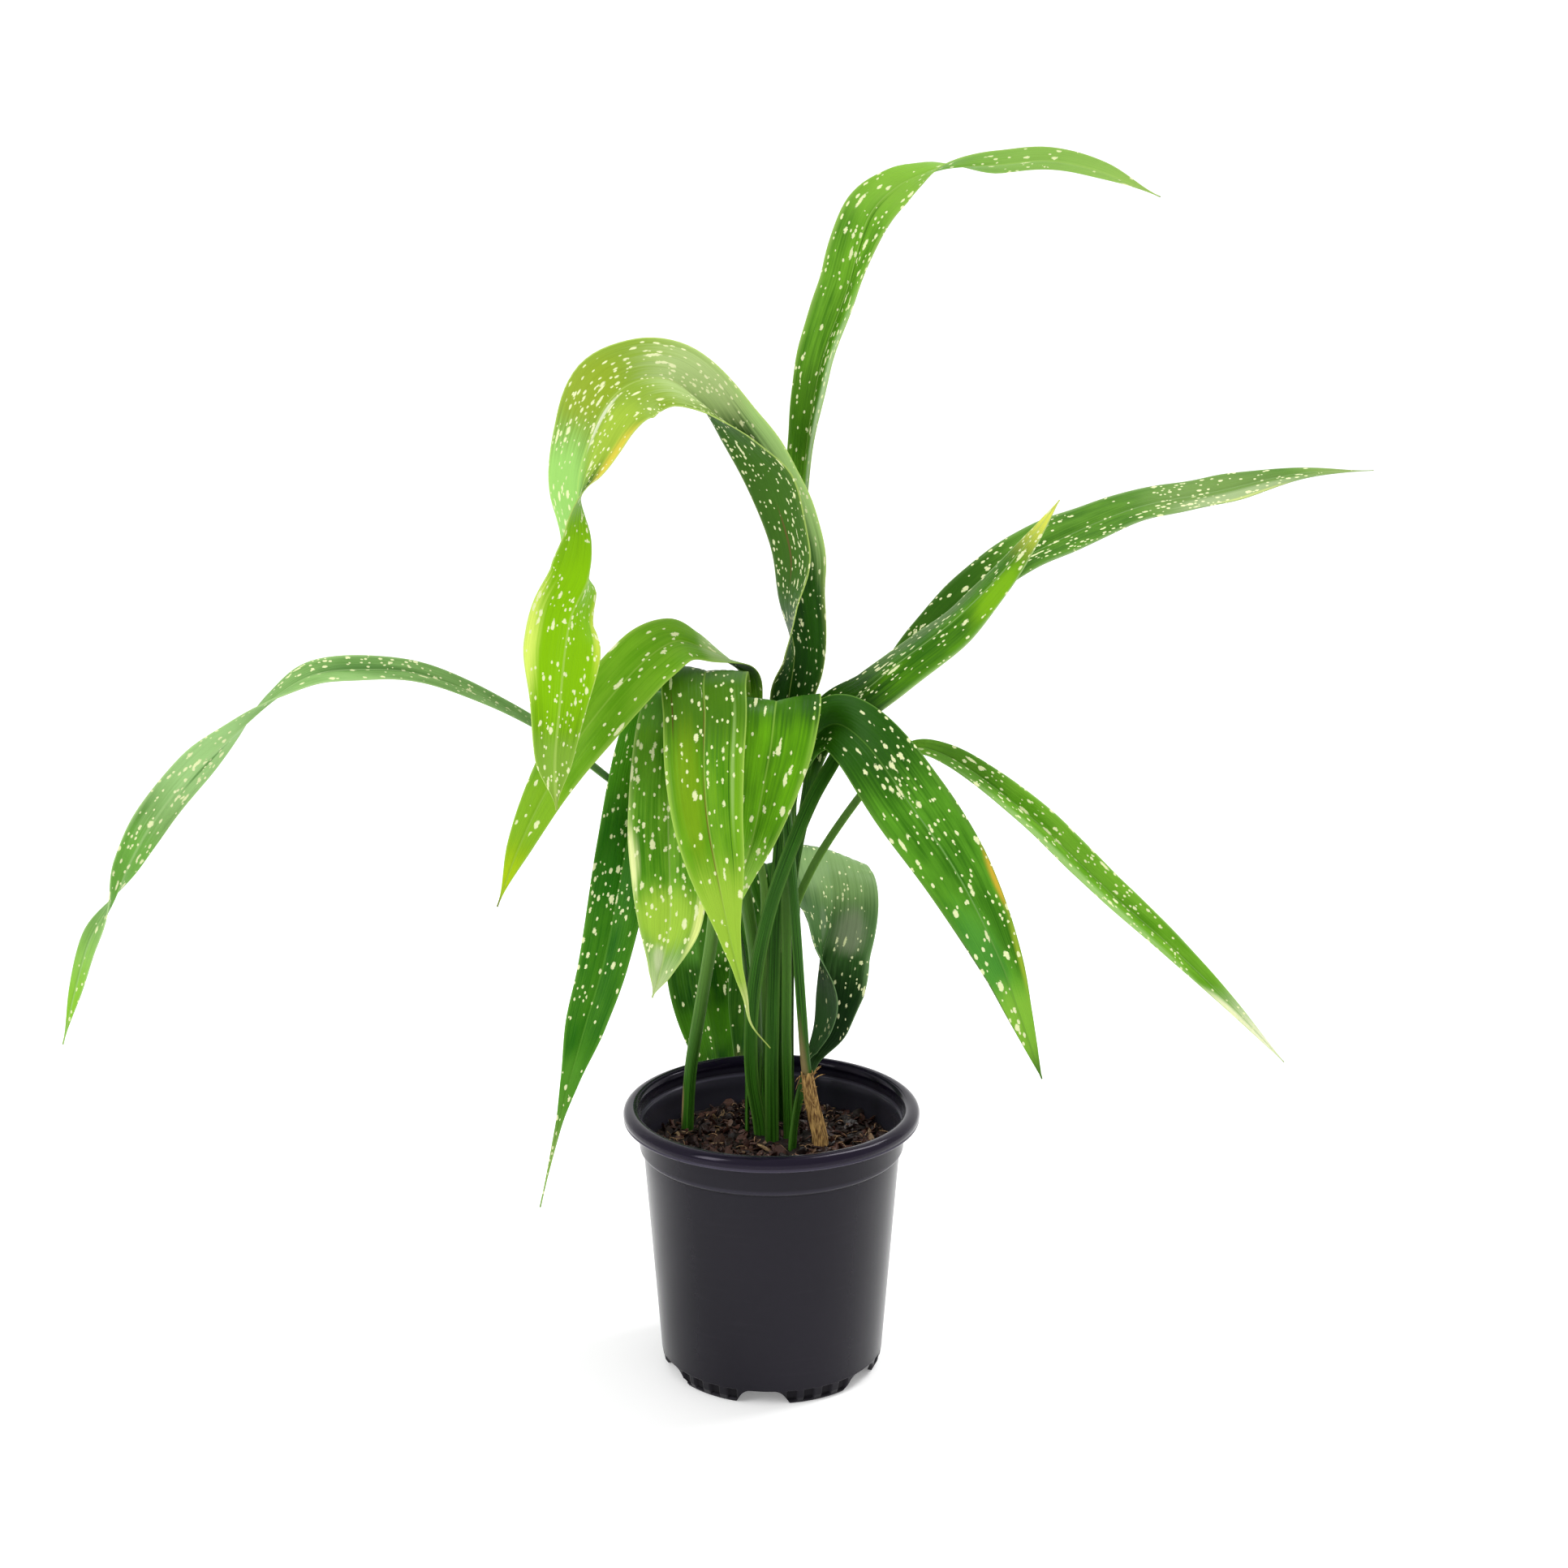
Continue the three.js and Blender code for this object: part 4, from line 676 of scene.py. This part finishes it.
def leaf_material(name, seed):
    deep, light, margin, tip, tip_start, spot_share, spot_size, stalk_painted_light, marks = LOOKS[name]
    mat = Material(f"leaf_{name}_skin")
    size = mat.attribute("leaf_size", "Vector")
    blade = mat.attribute("leaf_blade")
    across, along, face = mat.split(mat.attribute("leaf_place", "Vector"))
    real_across, real_along, _ = mat.split(size)
    reach = mat.math("ABSOLUTE", across)
    tone_place = mat.join(real_across, mat.times(real_along, 0.25), seed * 11)
    tone = mat.step(mat.noise(tone_place, 0.09, 3), 0.32, 0.68)

    def lengthwise(per_leaf, run, detail):
        place = mat.join(mat.times(across, per_leaf), mat.times(real_along, run), seed)
        return mat.noise(place, 1, detail)

    streaks = lengthwise(16, 0.012, 3)
    threads = lengthwise(70, 0.02, 2)
    green = mat.mix(tone, deep, light)
    green = mat.tint(green, light, mat.step(streaks, 0.4, 0.7), 0.5)
    green = mat.tint(green, deep, mat.step(streaks, 0.5, 0.28), 0.45)
    ragged = mat.math("ADD", along, mat.scaled(streaks, 0.05, -0.025))
    green = mat.mix(mat.step(ragged, tip_start - 0.05, tip_start + 0.04), green, tip)
    near_edge = mat.scaled(tone, -0.07, reach)
    green = mat.tint(green, margin, mat.step(near_edge, 0.78, 1), mat.times(blade, 0.6))
    stalk = mat.mix(mat.step(streaks, 0.35, 0.7), STALK_DEEP, STALK_LIGHT)
    pale_edge = mat.times(mat.step(reach, 0.6, 1), 0.25)
    # painted shade and light: a stalk is darker low down, where the bundle shades it, and paler higher up by
    # the leaf's own share; its edges are a little paler all along
    stalk_light_and_pale_edge = mat.scaled(mat.step(along, 0.08, 0.3), stalk_painted_light, pale_edge)
    stalk = mat.mix(stalk_light_and_pale_edge, stalk, STALK_PALE)
    green = mat.mix(mat.step(blade, 0, 0.35), stalk, green)
    for mark_across, mark_along, wide, long, colour, strength, *side in marks:
        x = mat.scaled(across, 1 / wide, -mark_across / wide)
        y = mat.scaled(along, 1 / long, -mark_along / long)
        radius = mat.math("SQRT", mat.scaled(x, x, mat.times(y, y)))
        distance = mat.scaled(streaks, 0.6, mat.math("ADD", radius, -0.3))
        patch = mat.times(mat.step(distance, 1, 0.35), strength)
        for way in side:
            patch = mat.times(patch, mat.step(face, -0.2 * way, 0.2 * way))
        green = mat.mix(patch, green, colour)
    dark = mat.times(mat.step(threads, 0.5, 0.3), 0.3)
    green = mat.mix(dark, green, mat.mix(0.5, green, STALK_DEEP))
    rib = mat.step(mat.math("ABSOLUTE", real_across), 0.7, 0.25)
    green = mat.tint(green, margin, rib, mat.times(blade, 0.4))
    green = mat.tint(green, margin, mat.step(reach, 0.965, 0.99), mat.times(blade, 0.6))
    flecks = spots(mat, size, spot_share, spot_size, seed)
    green = mat.tint(green, CREAM, mat.times(flecks, mat.step(blade, 0.2, 0.6)), 0.96)

    veins = mat.math("SINE", mat.times(across, TURN * 11))
    grain = mat.noise(mat.join(real_across, mat.times(real_along, 0.15), seed), 3, 3)
    height = mat.scaled(veins, 0.22, mat.math("ADD", threads, streaks))
    skin = mat.principled(green, mat.scaled(grain, 0.16, 0.3), {
        "IOR": 1.45, "Specular IOR Level": 0.12, "Normal": mat.bump(height, 0.00016, 0.7),
    })
    through = mat.node("BsdfTranslucent", {"Color": green}).outputs[0]
    return mat.finish(mat.node("MixShader", {0: 0.2, 1: skin, 2: through}).outputs[0])


# Pot

def arc(centre_radius, centre_height, radius, height, start, end, steps):
    """Profile points on part of an ellipse. Angles are in degrees from straight out, counted upwards."""
    turns = np.radians(np.linspace(start, end, steps))
    return [(centre_radius + radius * math.cos(t), centre_height + height * math.sin(t)) for t in turns]


def arch_height(offset):
    """How high the opening between two feet is at a distance from its middle."""
    t = np.linspace(0, 1, 9)
    half = ARCH_HALF_WIDTH
    curve_x = half - 2.6 * (1 - t) ** 2 - 10 * t * (1 - t) - 9 * t ** 2
    curve_z = ARCH_HEIGHT * (1 - 0.55 * (1 - t) ** 2)
    known_x = np.concatenate([[0], curve_x[::-1], [half - 0.4]])
    known_z = np.concatenate([[ARCH_HEIGHT], curve_z[::-1], [0]])
    return np.interp(np.abs(offset), known_x, known_z)


def foot_face(height):
    """The radius of the foot ring's outside at a height."""
    return np.interp(height, (0, 3.6, 9), (FOOT_RADIUS, FOOT_RADIUS + 2, WALL_BASE_RADIUS))


def foot_rings(angles):
    """The floor's underside and the foot ring with its arches and slots, in rings like the wall's."""
    pitch = TURN / ARCH_COUNT
    from_arch = (angles - math.radians(FIRST_ARCH) + pitch / 2) % pitch - pitch / 2
    from_foot = (angles - math.radians(FIRST_ARCH)) % pitch - pitch / 2
    lifted = arch_height(FOOT_RADIUS * np.sin(from_arch))
    slot = 0
    for degrees in SLOT_ANGLES:
        away = np.abs(FOOT_RADIUS * (from_foot - math.radians(degrees)))
        slot = np.maximum(slot, smoothstep(away, SLOT_HALF_WIDTH + 0.3, SLOT_HALF_WIDTH - 0.5))
    rings = [(radius, FLOOR_UNDERSIDE, 0, 0) for radius in (4, 20, 40, FOOT_RADIUS - 3.4)]
    for share in np.linspace(1, 0, 8):
        height = lerp(lifted, FLOOR_UNDERSIDE, share)
        rings.append((foot_face(height) - FOOT_THICKNESS - 1.2 * share, height, 0, 0))
    for share in (0.75, 0.25):
        rings.append((foot_face(lifted) - FOOT_THICKNESS * share, lifted, 0, 0))
    for share in np.linspace(0, 1, 30):
        height = lerp(lifted, FLOOR_UNDERSIDE, share)
        above_sill = smoothstep(height, SLOT_BOTTOM - 0.2, SLOT_BOTTOM + 0.5)
        cut = slot * above_sill * smoothstep(height, SLOT_TOP + 0.2, SLOT_TOP - 0.6)
        # painted shade: darker and duller over the foot ring, and darker still in the slots
        shade = FOOT_SHADE * smoothstep(height, SLOT_TOP + 1, SLOT_TOP - 1.5)
        rings.append((foot_face(height) - SLOT_DEPTH * cut, height, 0, np.maximum(cut, shade)))
    return rings


def wall_rings():
    """The wall, the band, the rolled rim and the inside down to the floor, in rings: the radius, the height,
    how much painted highlight and edge wear it has, and how much painted shade it has in a groove."""
    inside = SHOULDER_RADIUS - WALL_THICKNESS
    band_inside = BAND_RADIUS - WALL_THICKNESS
    stretches = (
        (np.linspace((WALL_BASE_RADIUS + 0.15, 12), (SHOULDER_RADIUS, SHOULDER_HEIGHT - 2.2), 10), 0, 0),
        (arc(SHOULDER_RADIUS + 0.7, SHOULDER_HEIGHT - 1.6, 0.7, 0.8, 180, 100, 5), 0, 0.7),
        (arc(BAND_RADIUS - 1.6, SHOULDER_HEIGHT + 1.4, 1.6, 2.1, -75, 0, 9), 0.25, 0),
        (np.linspace((BAND_RADIUS, SHOULDER_HEIGHT + 2.6), (BAND_RADIUS + 0.2, BAND_TOP - 0.6), 3), 0, 0),
        (arc(BAND_RADIUS + 1.2, BAND_TOP - 0.4, 1, 1.2, 180, 95, 5), 0, 0.6),
        (np.linspace((BAND_RADIUS + 2.6, BAND_TOP + 1), (RIM_RADIUS - 2, BAND_TOP + 1.8), 3), 0, 0.3),
        (arc(RIM_RADIUS - 0.9, BAND_TOP + 2.6, 0.7, 0.8, -95, 50, 8), 0.7, 0),
        (arc(RIM_RADIUS - BEAD_HALF_WIDTH, POT_HEIGHT - BEAD_HALF_HEIGHT, BEAD_HALF_WIDTH, BEAD_HALF_HEIGHT,
             -18, 180, 26), 0, 0),
        (np.linspace((RIM_RADIUS - 9.3, POT_HEIGHT - 6), (band_inside + 1.2, BAND_TOP + 1.4), 4), 0.3, 0),
        (arc(band_inside + 0.2, BAND_TOP + 0.6, 1.2, 1.2, 20, -70, 5), 1, 0),
        (np.linspace((band_inside - 0.1, BAND_TOP - 1.2), (band_inside - 1, SHOULDER_HEIGHT + 1.6), 3),
         0.45, 0),
        (np.linspace((inside, SHOULDER_HEIGHT - 1), (FLOOR_RADIUS, FLOOR_TOP + 1), 5), 0.45, 0),
        (((FLOOR_RADIUS - 1, FLOOR_TOP), (40, FLOOR_TOP), (4, FLOOR_TOP)), 0, 0),
    )
    return [(*point, edge, groove) for points, edge, groove in stretches for point in points]


def pot_piece(material):
    """One moulded wall with a rolled rim, a band under it, a raised floor and a foot ring on six feet."""
    angles = circle(POT_COLUMNS)
    radius, height, edge, groove = (
        np.array([np.broadcast_to(value, POT_COLUMNS) for value in values], float)
        for values in zip(*foot_rings(angles), *wall_rings())
    )
    points = np.stack([radius * np.sin(angles), -radius * np.cos(angles), height], -1)
    made = piece("nursery_pot", points, ring_faces(len(radius), POT_COLUMNS), material, "pot_plastic")
    give(made, "pot_painted_shade", groove)
    give(made, "pot_highlight_and_wear", edge)
    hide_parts("pot")


def pot_material():
    """Near-black plastic with a purple cast: satin on the wall, glossier at the rim, dull in the slots, with
    painted shade in the slots, in the grooves and over the foot ring, and painted highlight with some edge
    wear on the rim's lip, the band's lower edge, the inner ledge and the inside wall.
    """
    mat = Material("black_pot_plastic")
    place = mat.place()
    stretched = mat.stretched(place, (1, 1, 12))
    height = mat.split(place)[2]
    painted_shade = mat.attribute("pot_painted_shade")
    edge = mat.attribute("pot_highlight_and_wear")
    smudge = mat.step(mat.noise(place, 11), 0.25, 0.85)
    dust = mat.noise(place, 900, 3)
    scuff = mat.step(mat.noise(stretched, 30, 3), 0.55, 0.95)
    rim = mat.step(height, (BAND_TOP - 1) * MM, (BAND_TOP + 1) * MM)
    colour = mat.mix(rim, "#131317", "#100a1a")
    colour = mat.tint(colour, "#1e1c24", smudge, 0.35)
    colour = mat.tint(colour, "#2c2a31", scuff, 0.2)
    # painted highlight, with some edge wear: lighter on the rim's lower lip, the band's lower edge, the inner
    # ledge and the inside wall
    colour = mat.mix(edge, colour, "#403d4a")
    # painted shade: darker in the slots, in the grooves under the band and the rim, and over the foot ring
    colour = mat.tint(colour, "#030304", painted_shade, 0.9)
    roughness = mat.scaled(rim, -0.09, mat.scaled(dust, 0.04, 0.22))
    return mat.finish(mat.principled(colour, mat.scaled(painted_shade, 0.4, roughness), {
        "IOR": 1.5, "Specular Tint": "#ece4f6", "Specular IOR Level": 0.2, "Sheen Weight": 0.12,
        "Sheen Roughness": 0.3, "Normal": mat.bump(dust, 0.00001, 0.3),
    }))


# Soil

def soil_top(x, y):
    heap = 1.3 * np.sin(x / 11 + 0.8) * np.cos(y / 13) + 0.8 * np.sin(x / 5.3 - y / 6.1)
    return SOIL_HEIGHT - 0.6 + heap * (1 - (np.hypot(x, y) / SHOULDER_RADIUS) ** 4)


def soil_wall(height):
    share = (height - FLOOR_TOP) / (SHOULDER_HEIGHT - 1 - FLOOR_TOP)
    return lerp(FLOOR_RADIUS, SHOULDER_RADIUS - WALL_THICKNESS, share) - SOIL_CLEARANCE


def soil_piece(material):
    """The potting mix: a heap with a crumbly top, down to the pot's floor."""
    random = np.random.default_rng(5)
    angles = circle(SOIL_COLUMNS)
    sides = np.linspace(FLOOR_TOP + 0.3, SOIL_EDGE, 8)
    top = soil_wall(SOIL_EDGE) * np.linspace(1, 0.01, 90)
    radius = np.concatenate([[3], soil_wall(sides), top])[:, None]
    x = radius * np.sin(angles)
    y = -radius * np.cos(angles)
    crumbs = sum(
        size * np.sin(x * f + random.uniform(0, 6)) * np.sin(y * f * 1.1 + random.uniform(0, 6))
        for f, size in ((0.45, 0.5), (0.9, 0.35), (1.7, 0.3), (2.9, 0.2))
    )
    z = soil_top(x, y) - 1.2 + crumbs
    z[:1 + len(sides)] = np.concatenate([sides[:1], sides])[:, None]
    faces = ring_faces(len(radius), SOIL_COLUMNS)
    made = piece("potting_mix", np.stack([x, y, z], -1), faces, material, "potting_soil")
    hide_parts("soil")


def chips_piece(material):
    """Bark chips, each a flat irregular splinter, lying over the soil at all angles."""
    random = np.random.default_rng(11)
    base, base_faces = chip_shape()
    shapes, tints = [], []
    feet = [(*leaf["foot"], leaf["stalk"]) for leaf in LEAVES.values()]
    while len(tints) < CHIP_COUNT:
        radius = (soil_wall(SOIL_EDGE) - 2.5) * math.sqrt(random.uniform())
        turn = random.uniform(0, TURN)
        x, y = radius * math.cos(turn), radius * math.sin(turn)
        length = random.choice(CHIP_LENGTHS, p=CHIP_SHARES) * random.uniform(0.8, 1.2)
        if any(math.hypot(x - fx, y - fy) < stalk + 0.35 * length + 0.5 for fx, fy, stalk in feet):
            continue
        size = np.array([length, length * random.uniform(0.35, 0.7), length * random.uniform(0.12, 0.28)]) / 2
        shape = base * size * random.uniform(0.75, 1.25, base.shape)
        tilt, lean = random.normal(0, CHIP_TILT), random.normal(0, CHIP_TILT)
        shape = shape @ np.array(Euler((tilt, lean, random.uniform(0, TURN))).to_matrix()).T
        height = float(soil_top(x, y)) - 1 + random.uniform(0, 1.7)
        shapes.append((shape + (x, y, height), base_faces))
        tints.append(random.uniform())
    made = piece("bark_chips", *joined(shapes), material, "potting_soil", smooth=False)
    give(made, "chip_tint", np.repeat(tints, len(base)))


def chip_shape():
    """A rough lump of unit radius: two staggered rings of points between two tips."""
    ring = 6
    points = [(0, 0, 1)]
    for level, twist in ((0.5, 0), (-0.5, 0.5)):
        for j in range(ring):
            turn = TURN * (j + twist) / ring
            points.append((math.cos(turn), math.sin(turn), level))
    points.append((0, 0, -1))
    faces = []
    for j in range(ring):
        a, b = 1 + j, 1 + (j + 1) % ring
        c, d = a + ring, b + ring
        faces += [[0, a, b], [a, c, b], [b, c, d], [c, 2 * ring + 1, d]]
    return np.array(points, float), faces


def strand(points, thick, sides):
    """Points and faces of a thin tapering strand along the given points."""
    tangent = unit(np.gradient(points, axis=0))
    helper = np.where(np.abs(tangent[:, 2:]) > 0.9, [[1, 0, 0]], [[0, 0, 1]])
    across = unit(np.cross(tangent, helper))
    up = np.cross(across, tangent)
    turns = circle(sides)[None, :, None]
    taper = np.interp(np.linspace(0, 1, len(points)), (0, 0.15, 0.7, 1), (0.6, 1, 0.8, 0.15))[:, None, None]
    ring = np.cos(turns) * across[:, None] + np.sin(turns) * up[:, None]
    rings = points[:, None] + ring * thick * taper
    return rings.reshape(-1, 3), ring_faces(len(points), sides)


def joined(shapes):
    """Several (points, faces) shapes as one."""
    vertices, faces, first = [], [], 0
    for points, own in shapes:
        faces += [[v + first for v in face] for face in own]
        vertices.append(points)
        first += len(points)
    return np.concatenate(vertices), faces


def fibres_piece(material):
    """Fine pale fibres strewn among the chips."""
    random = np.random.default_rng(23)
    shapes = []
    for _ in range(FIBRE_COUNT):
        radius = (soil_wall(SOIL_EDGE) - 6) * math.sqrt(random.uniform())
        turn, way, bend = random.uniform(0, 6.28), random.uniform(0, 6.28), random.normal(0, 0.9)
        length = random.uniform(4, 12)
        t = np.linspace(0, 1, 9)
        heading = way + bend * t
        x = radius * math.cos(turn) + np.cumsum(np.cos(heading)) * length / 9
        y = radius * math.sin(turn) + np.cumsum(np.sin(heading)) * length / 9
        z = soil_top(x, y) + 0.5 + random.uniform(0, 2.4) * np.sin(math.pi * t)
        shapes.append(strand(np.stack([x, y, z], -1), random.uniform(0.14, 0.34), 4))
    piece("soil_fibres", *joined(shapes), material, "dry_sheath")


def soil_material():
    mat = Material("potting_mix_earth")
    place = mat.place()
    coarse = mat.noise(place, 260, 5)
    fine = mat.noise(place, 1400, 4)
    colour = mat.mix(mat.step(coarse, 0.35, 0.7), "#120a07", "#2c1a12")
    bump = mat.bump(mat.math("ADD", coarse, fine), 0.0008, 0.8)
    return mat.finish(mat.principled(colour, 0.92, {"Normal": bump}))


def chip_material():
    mat = Material("bark_chip")
    place = mat.place()
    tint = mat.attribute("chip_tint")
    grain = mat.noise(place, 900, 4)
    colour = mat.mix(mat.step(tint, 0, 0.55), "#110806", "#2b140e")
    colour = mat.mix(mat.step(tint, 0.55, 0.8), colour, "#4c2e24")
    colour = mat.mix(mat.step(tint, 0.92, 1), colour, "#a68a66")
    colour = mat.tint(colour, "#0c0605", mat.step(grain, 0.4, 0.75), 0.45)
    return mat.finish(mat.principled(colour, mat.scaled(grain, 0.3, 0.28), {
        "Specular IOR Level": 0.3, "Normal": mat.bump(grain, 0.0004, 0.8),
    }))


def straw_material(name, dark, light):
    mat = Material(name)
    place = mat.place()
    fibre = mat.noise(mat.stretched(place, (1, 1, 0.12)), 1300, 4)
    blotch = mat.noise(place, 120, 3)
    colour = mat.mix(mat.step(fibre, 0.35, 0.65), dark, light)
    colour = mat.tint(colour, dark, mat.step(blotch, 0.5, 0.75), 0.4)
    bump = mat.bump(fibre, 0.0003, 0.8)
    return mat.finish(mat.principled(colour, 0.75, {"Normal": bump}))


# Dead sheath

def sleeve(frames, random):
    """A thin papery sleeve round a stalk, open down one side, ridged lengthwise, with a torn top."""
    columns, rings = 72, 46
    heights = frames["centre"][:400, 2]
    share = np.linspace(0, 1, columns)
    start, sweep = math.radians(SHEATH_START), math.radians(SHEATH_SWEEP)
    tear = sum(random.uniform(0.4, 1) * np.sin(share * f + random.uniform(0, 6)) for f in (7, 15, 33)) / 2
    tops = SHEATH_TOP + 3 * tear
    ridges = 0.35 * np.sin(share * sweep * 5 + 1) + 0.15 * np.sin(share * sweep * 17)
    layers = []
    for lift in (0, SHEATH_THICKNESS):
        grid = []
        for level in np.linspace(0, 1, rings):
            z = lerp(SHEATH_BOTTOM, tops, level)
            at = np.searchsorted(heights, np.clip(z, heights[0], heights[-1]))
            centre, across, up = (frames[key][at] for key in ("centre", "across", "up"))
            turn = (start + sweep * share + SHEATH_TWIST * level)[:, None]
            swell = (1 - level) ** 1.5 + 0.5 * level ** 6 * np.sin(share * 13)
            reach = (SHEATH_RADIUS + ridges + lift + swell)[:, None]
            grid.append(centre + across * reach * np.cos(turn) + up * reach * np.sin(turn))
        layers.append(np.array(grid))
    ring = np.concatenate([layers[0], layers[1][:, ::-1]], axis=1)
    count = ring.shape[1]
    faces = ring_faces(rings, count, capped=False)
    for base, way in ((0, -1), ((rings - 1) * count, 1)):
        for j in range(columns - 1):
            faces.append([base + j, base + j + 1, base + count - 2 - j, base + count - 1 - j][::way])
    return ring.reshape(-1, 3), faces


def sheath_piece(material):
    """The dead sheath, with fibres peeling off it."""
    random = np.random.default_rng(31)
    frames = leaf_frames(LEAVES[SHEATH_LEAF], 900)
    shapes = [sleeve(frames, random)]
    for _ in range(SHEATH_STRANDS):
        foot = random.uniform(150, SHEATH_TOP + 1)
        at = int(np.searchsorted(frames["centre"][:400, 2], foot))
        centre, across, up = (frames[key][at] for key in ("centre", "across", "up"))
        turn = random.uniform(0, TURN)
        out = across * math.cos(turn) + up * math.sin(turn)
        around = -across * math.sin(turn) + up * math.cos(turn)
        length = random.uniform(3, 9) * (1.4 if foot > 163 else 0.8)
        t = np.linspace(0, 1, 14)[:, None]
        swing, rise, lean = random.normal(0, 0.4), random.uniform(-0.2, 1.1), random.uniform(0.1, 0.5)
        path = centre + out * (SHEATH_RADIUS + 0.4) + out * length * lean * t ** 1.5
        path = path + around * length * swing * t ** 1.3
        path[:, 2:] += length * (rise * t - 0.4 * t ** 2)
        shapes.append(strand(path, random.uniform(0.15, 0.4), 5))
    made = piece("dead_sheath", *joined(shapes), material, "dry_sheath")
    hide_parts("dry_sheath")


# Stage and light

def stage():
    """A pale floor that curves up into a backdrop behind the plant."""
    mat = Material("pale_paper")
    paper = mat.finish(mat.principled((0.93, 0.93, 0.93, 1), 0.9, {
        "Specular IOR Level": 0.1, "Emission Color": (1, 1, 1, 1), "Emission Strength": 0.2,
    }))
    bend = BACKDROP_BEND
    profile = [(FLOOR_FRONT, 0), (FLOOR_BACK, 0)]
    for turn in np.linspace(0.05, math.pi / 2, 24):
        profile.append((FLOOR_BACK + bend * math.sin(turn), bend * (1 - math.cos(turn))))
    profile.append((FLOOR_BACK + bend, BACKDROP_TOP))
    sides = (-FLOOR_HALF_WIDTH, FLOOR_HALF_WIDTH)
    vertices = [(x, y, z - FLOOR_DROP) for y, z in profile for x in sides]
    faces = [(2 * i, 2 * i + 1, 2 * i + 3, 2 * i + 2) for i in range(len(profile) - 1)]
    mesh_object("studio_floor", vertices, faces, paper)


def lighting():
    scene = bpy.context.scene
    scene.world = bpy.data.worlds.new("white_room")
    scene.world.use_nodes = True
    background = scene.world.node_tree.nodes["Background"]
    background.inputs["Color"].default_value = (1, 1, 1, 1)
    background.inputs["Strength"].default_value = ROOM_BRIGHTNESS
    for name, (place, power) in LIGHTS.items():
        data = bpy.data.lights.new(name, "AREA")
        data.shape = "RECTANGLE"
        data.size, data.size_y = LIGHT_SIZE
        data.energy = power
        made = placed(name, data)
        made.location = place
        made.rotation_euler = (Vector(LIGHT_TARGET) - Vector(place)).to_track_quat("-Z", "Y").to_euler()
    scene.view_settings.view_transform = "Standard"


def camera():
    data = bpy.data.cameras.new("camera")
    data.sensor_width = SENSOR
    data.lens = LENS
    made = placed("camera", data)
    made.location = CAMERA_PLACE
    made.rotation_euler = (math.radians(90 - CAMERA_PITCH), 0, 0)
    bpy.context.scene.camera = made


camera()
lighting()
stage()
for seed, name in enumerate(LEAVES, start=1):
    leaf_piece(name, seed)
pot_piece(pot_material())
soil_piece(soil_material())
chips_piece(chip_material())
fibres_piece(straw_material("soil_fibre_straw", "#6a4a34", "#bc9870"))
sheath_piece(straw_material("dead_sheath_straw", "#6c4a22", "#d2a864"))
root = frame["nodes"]["rhizome"]
root.data.materials.clear()
root.data.materials.append(straw_material("root_skin", "#8a7448", "#b39a6a"))
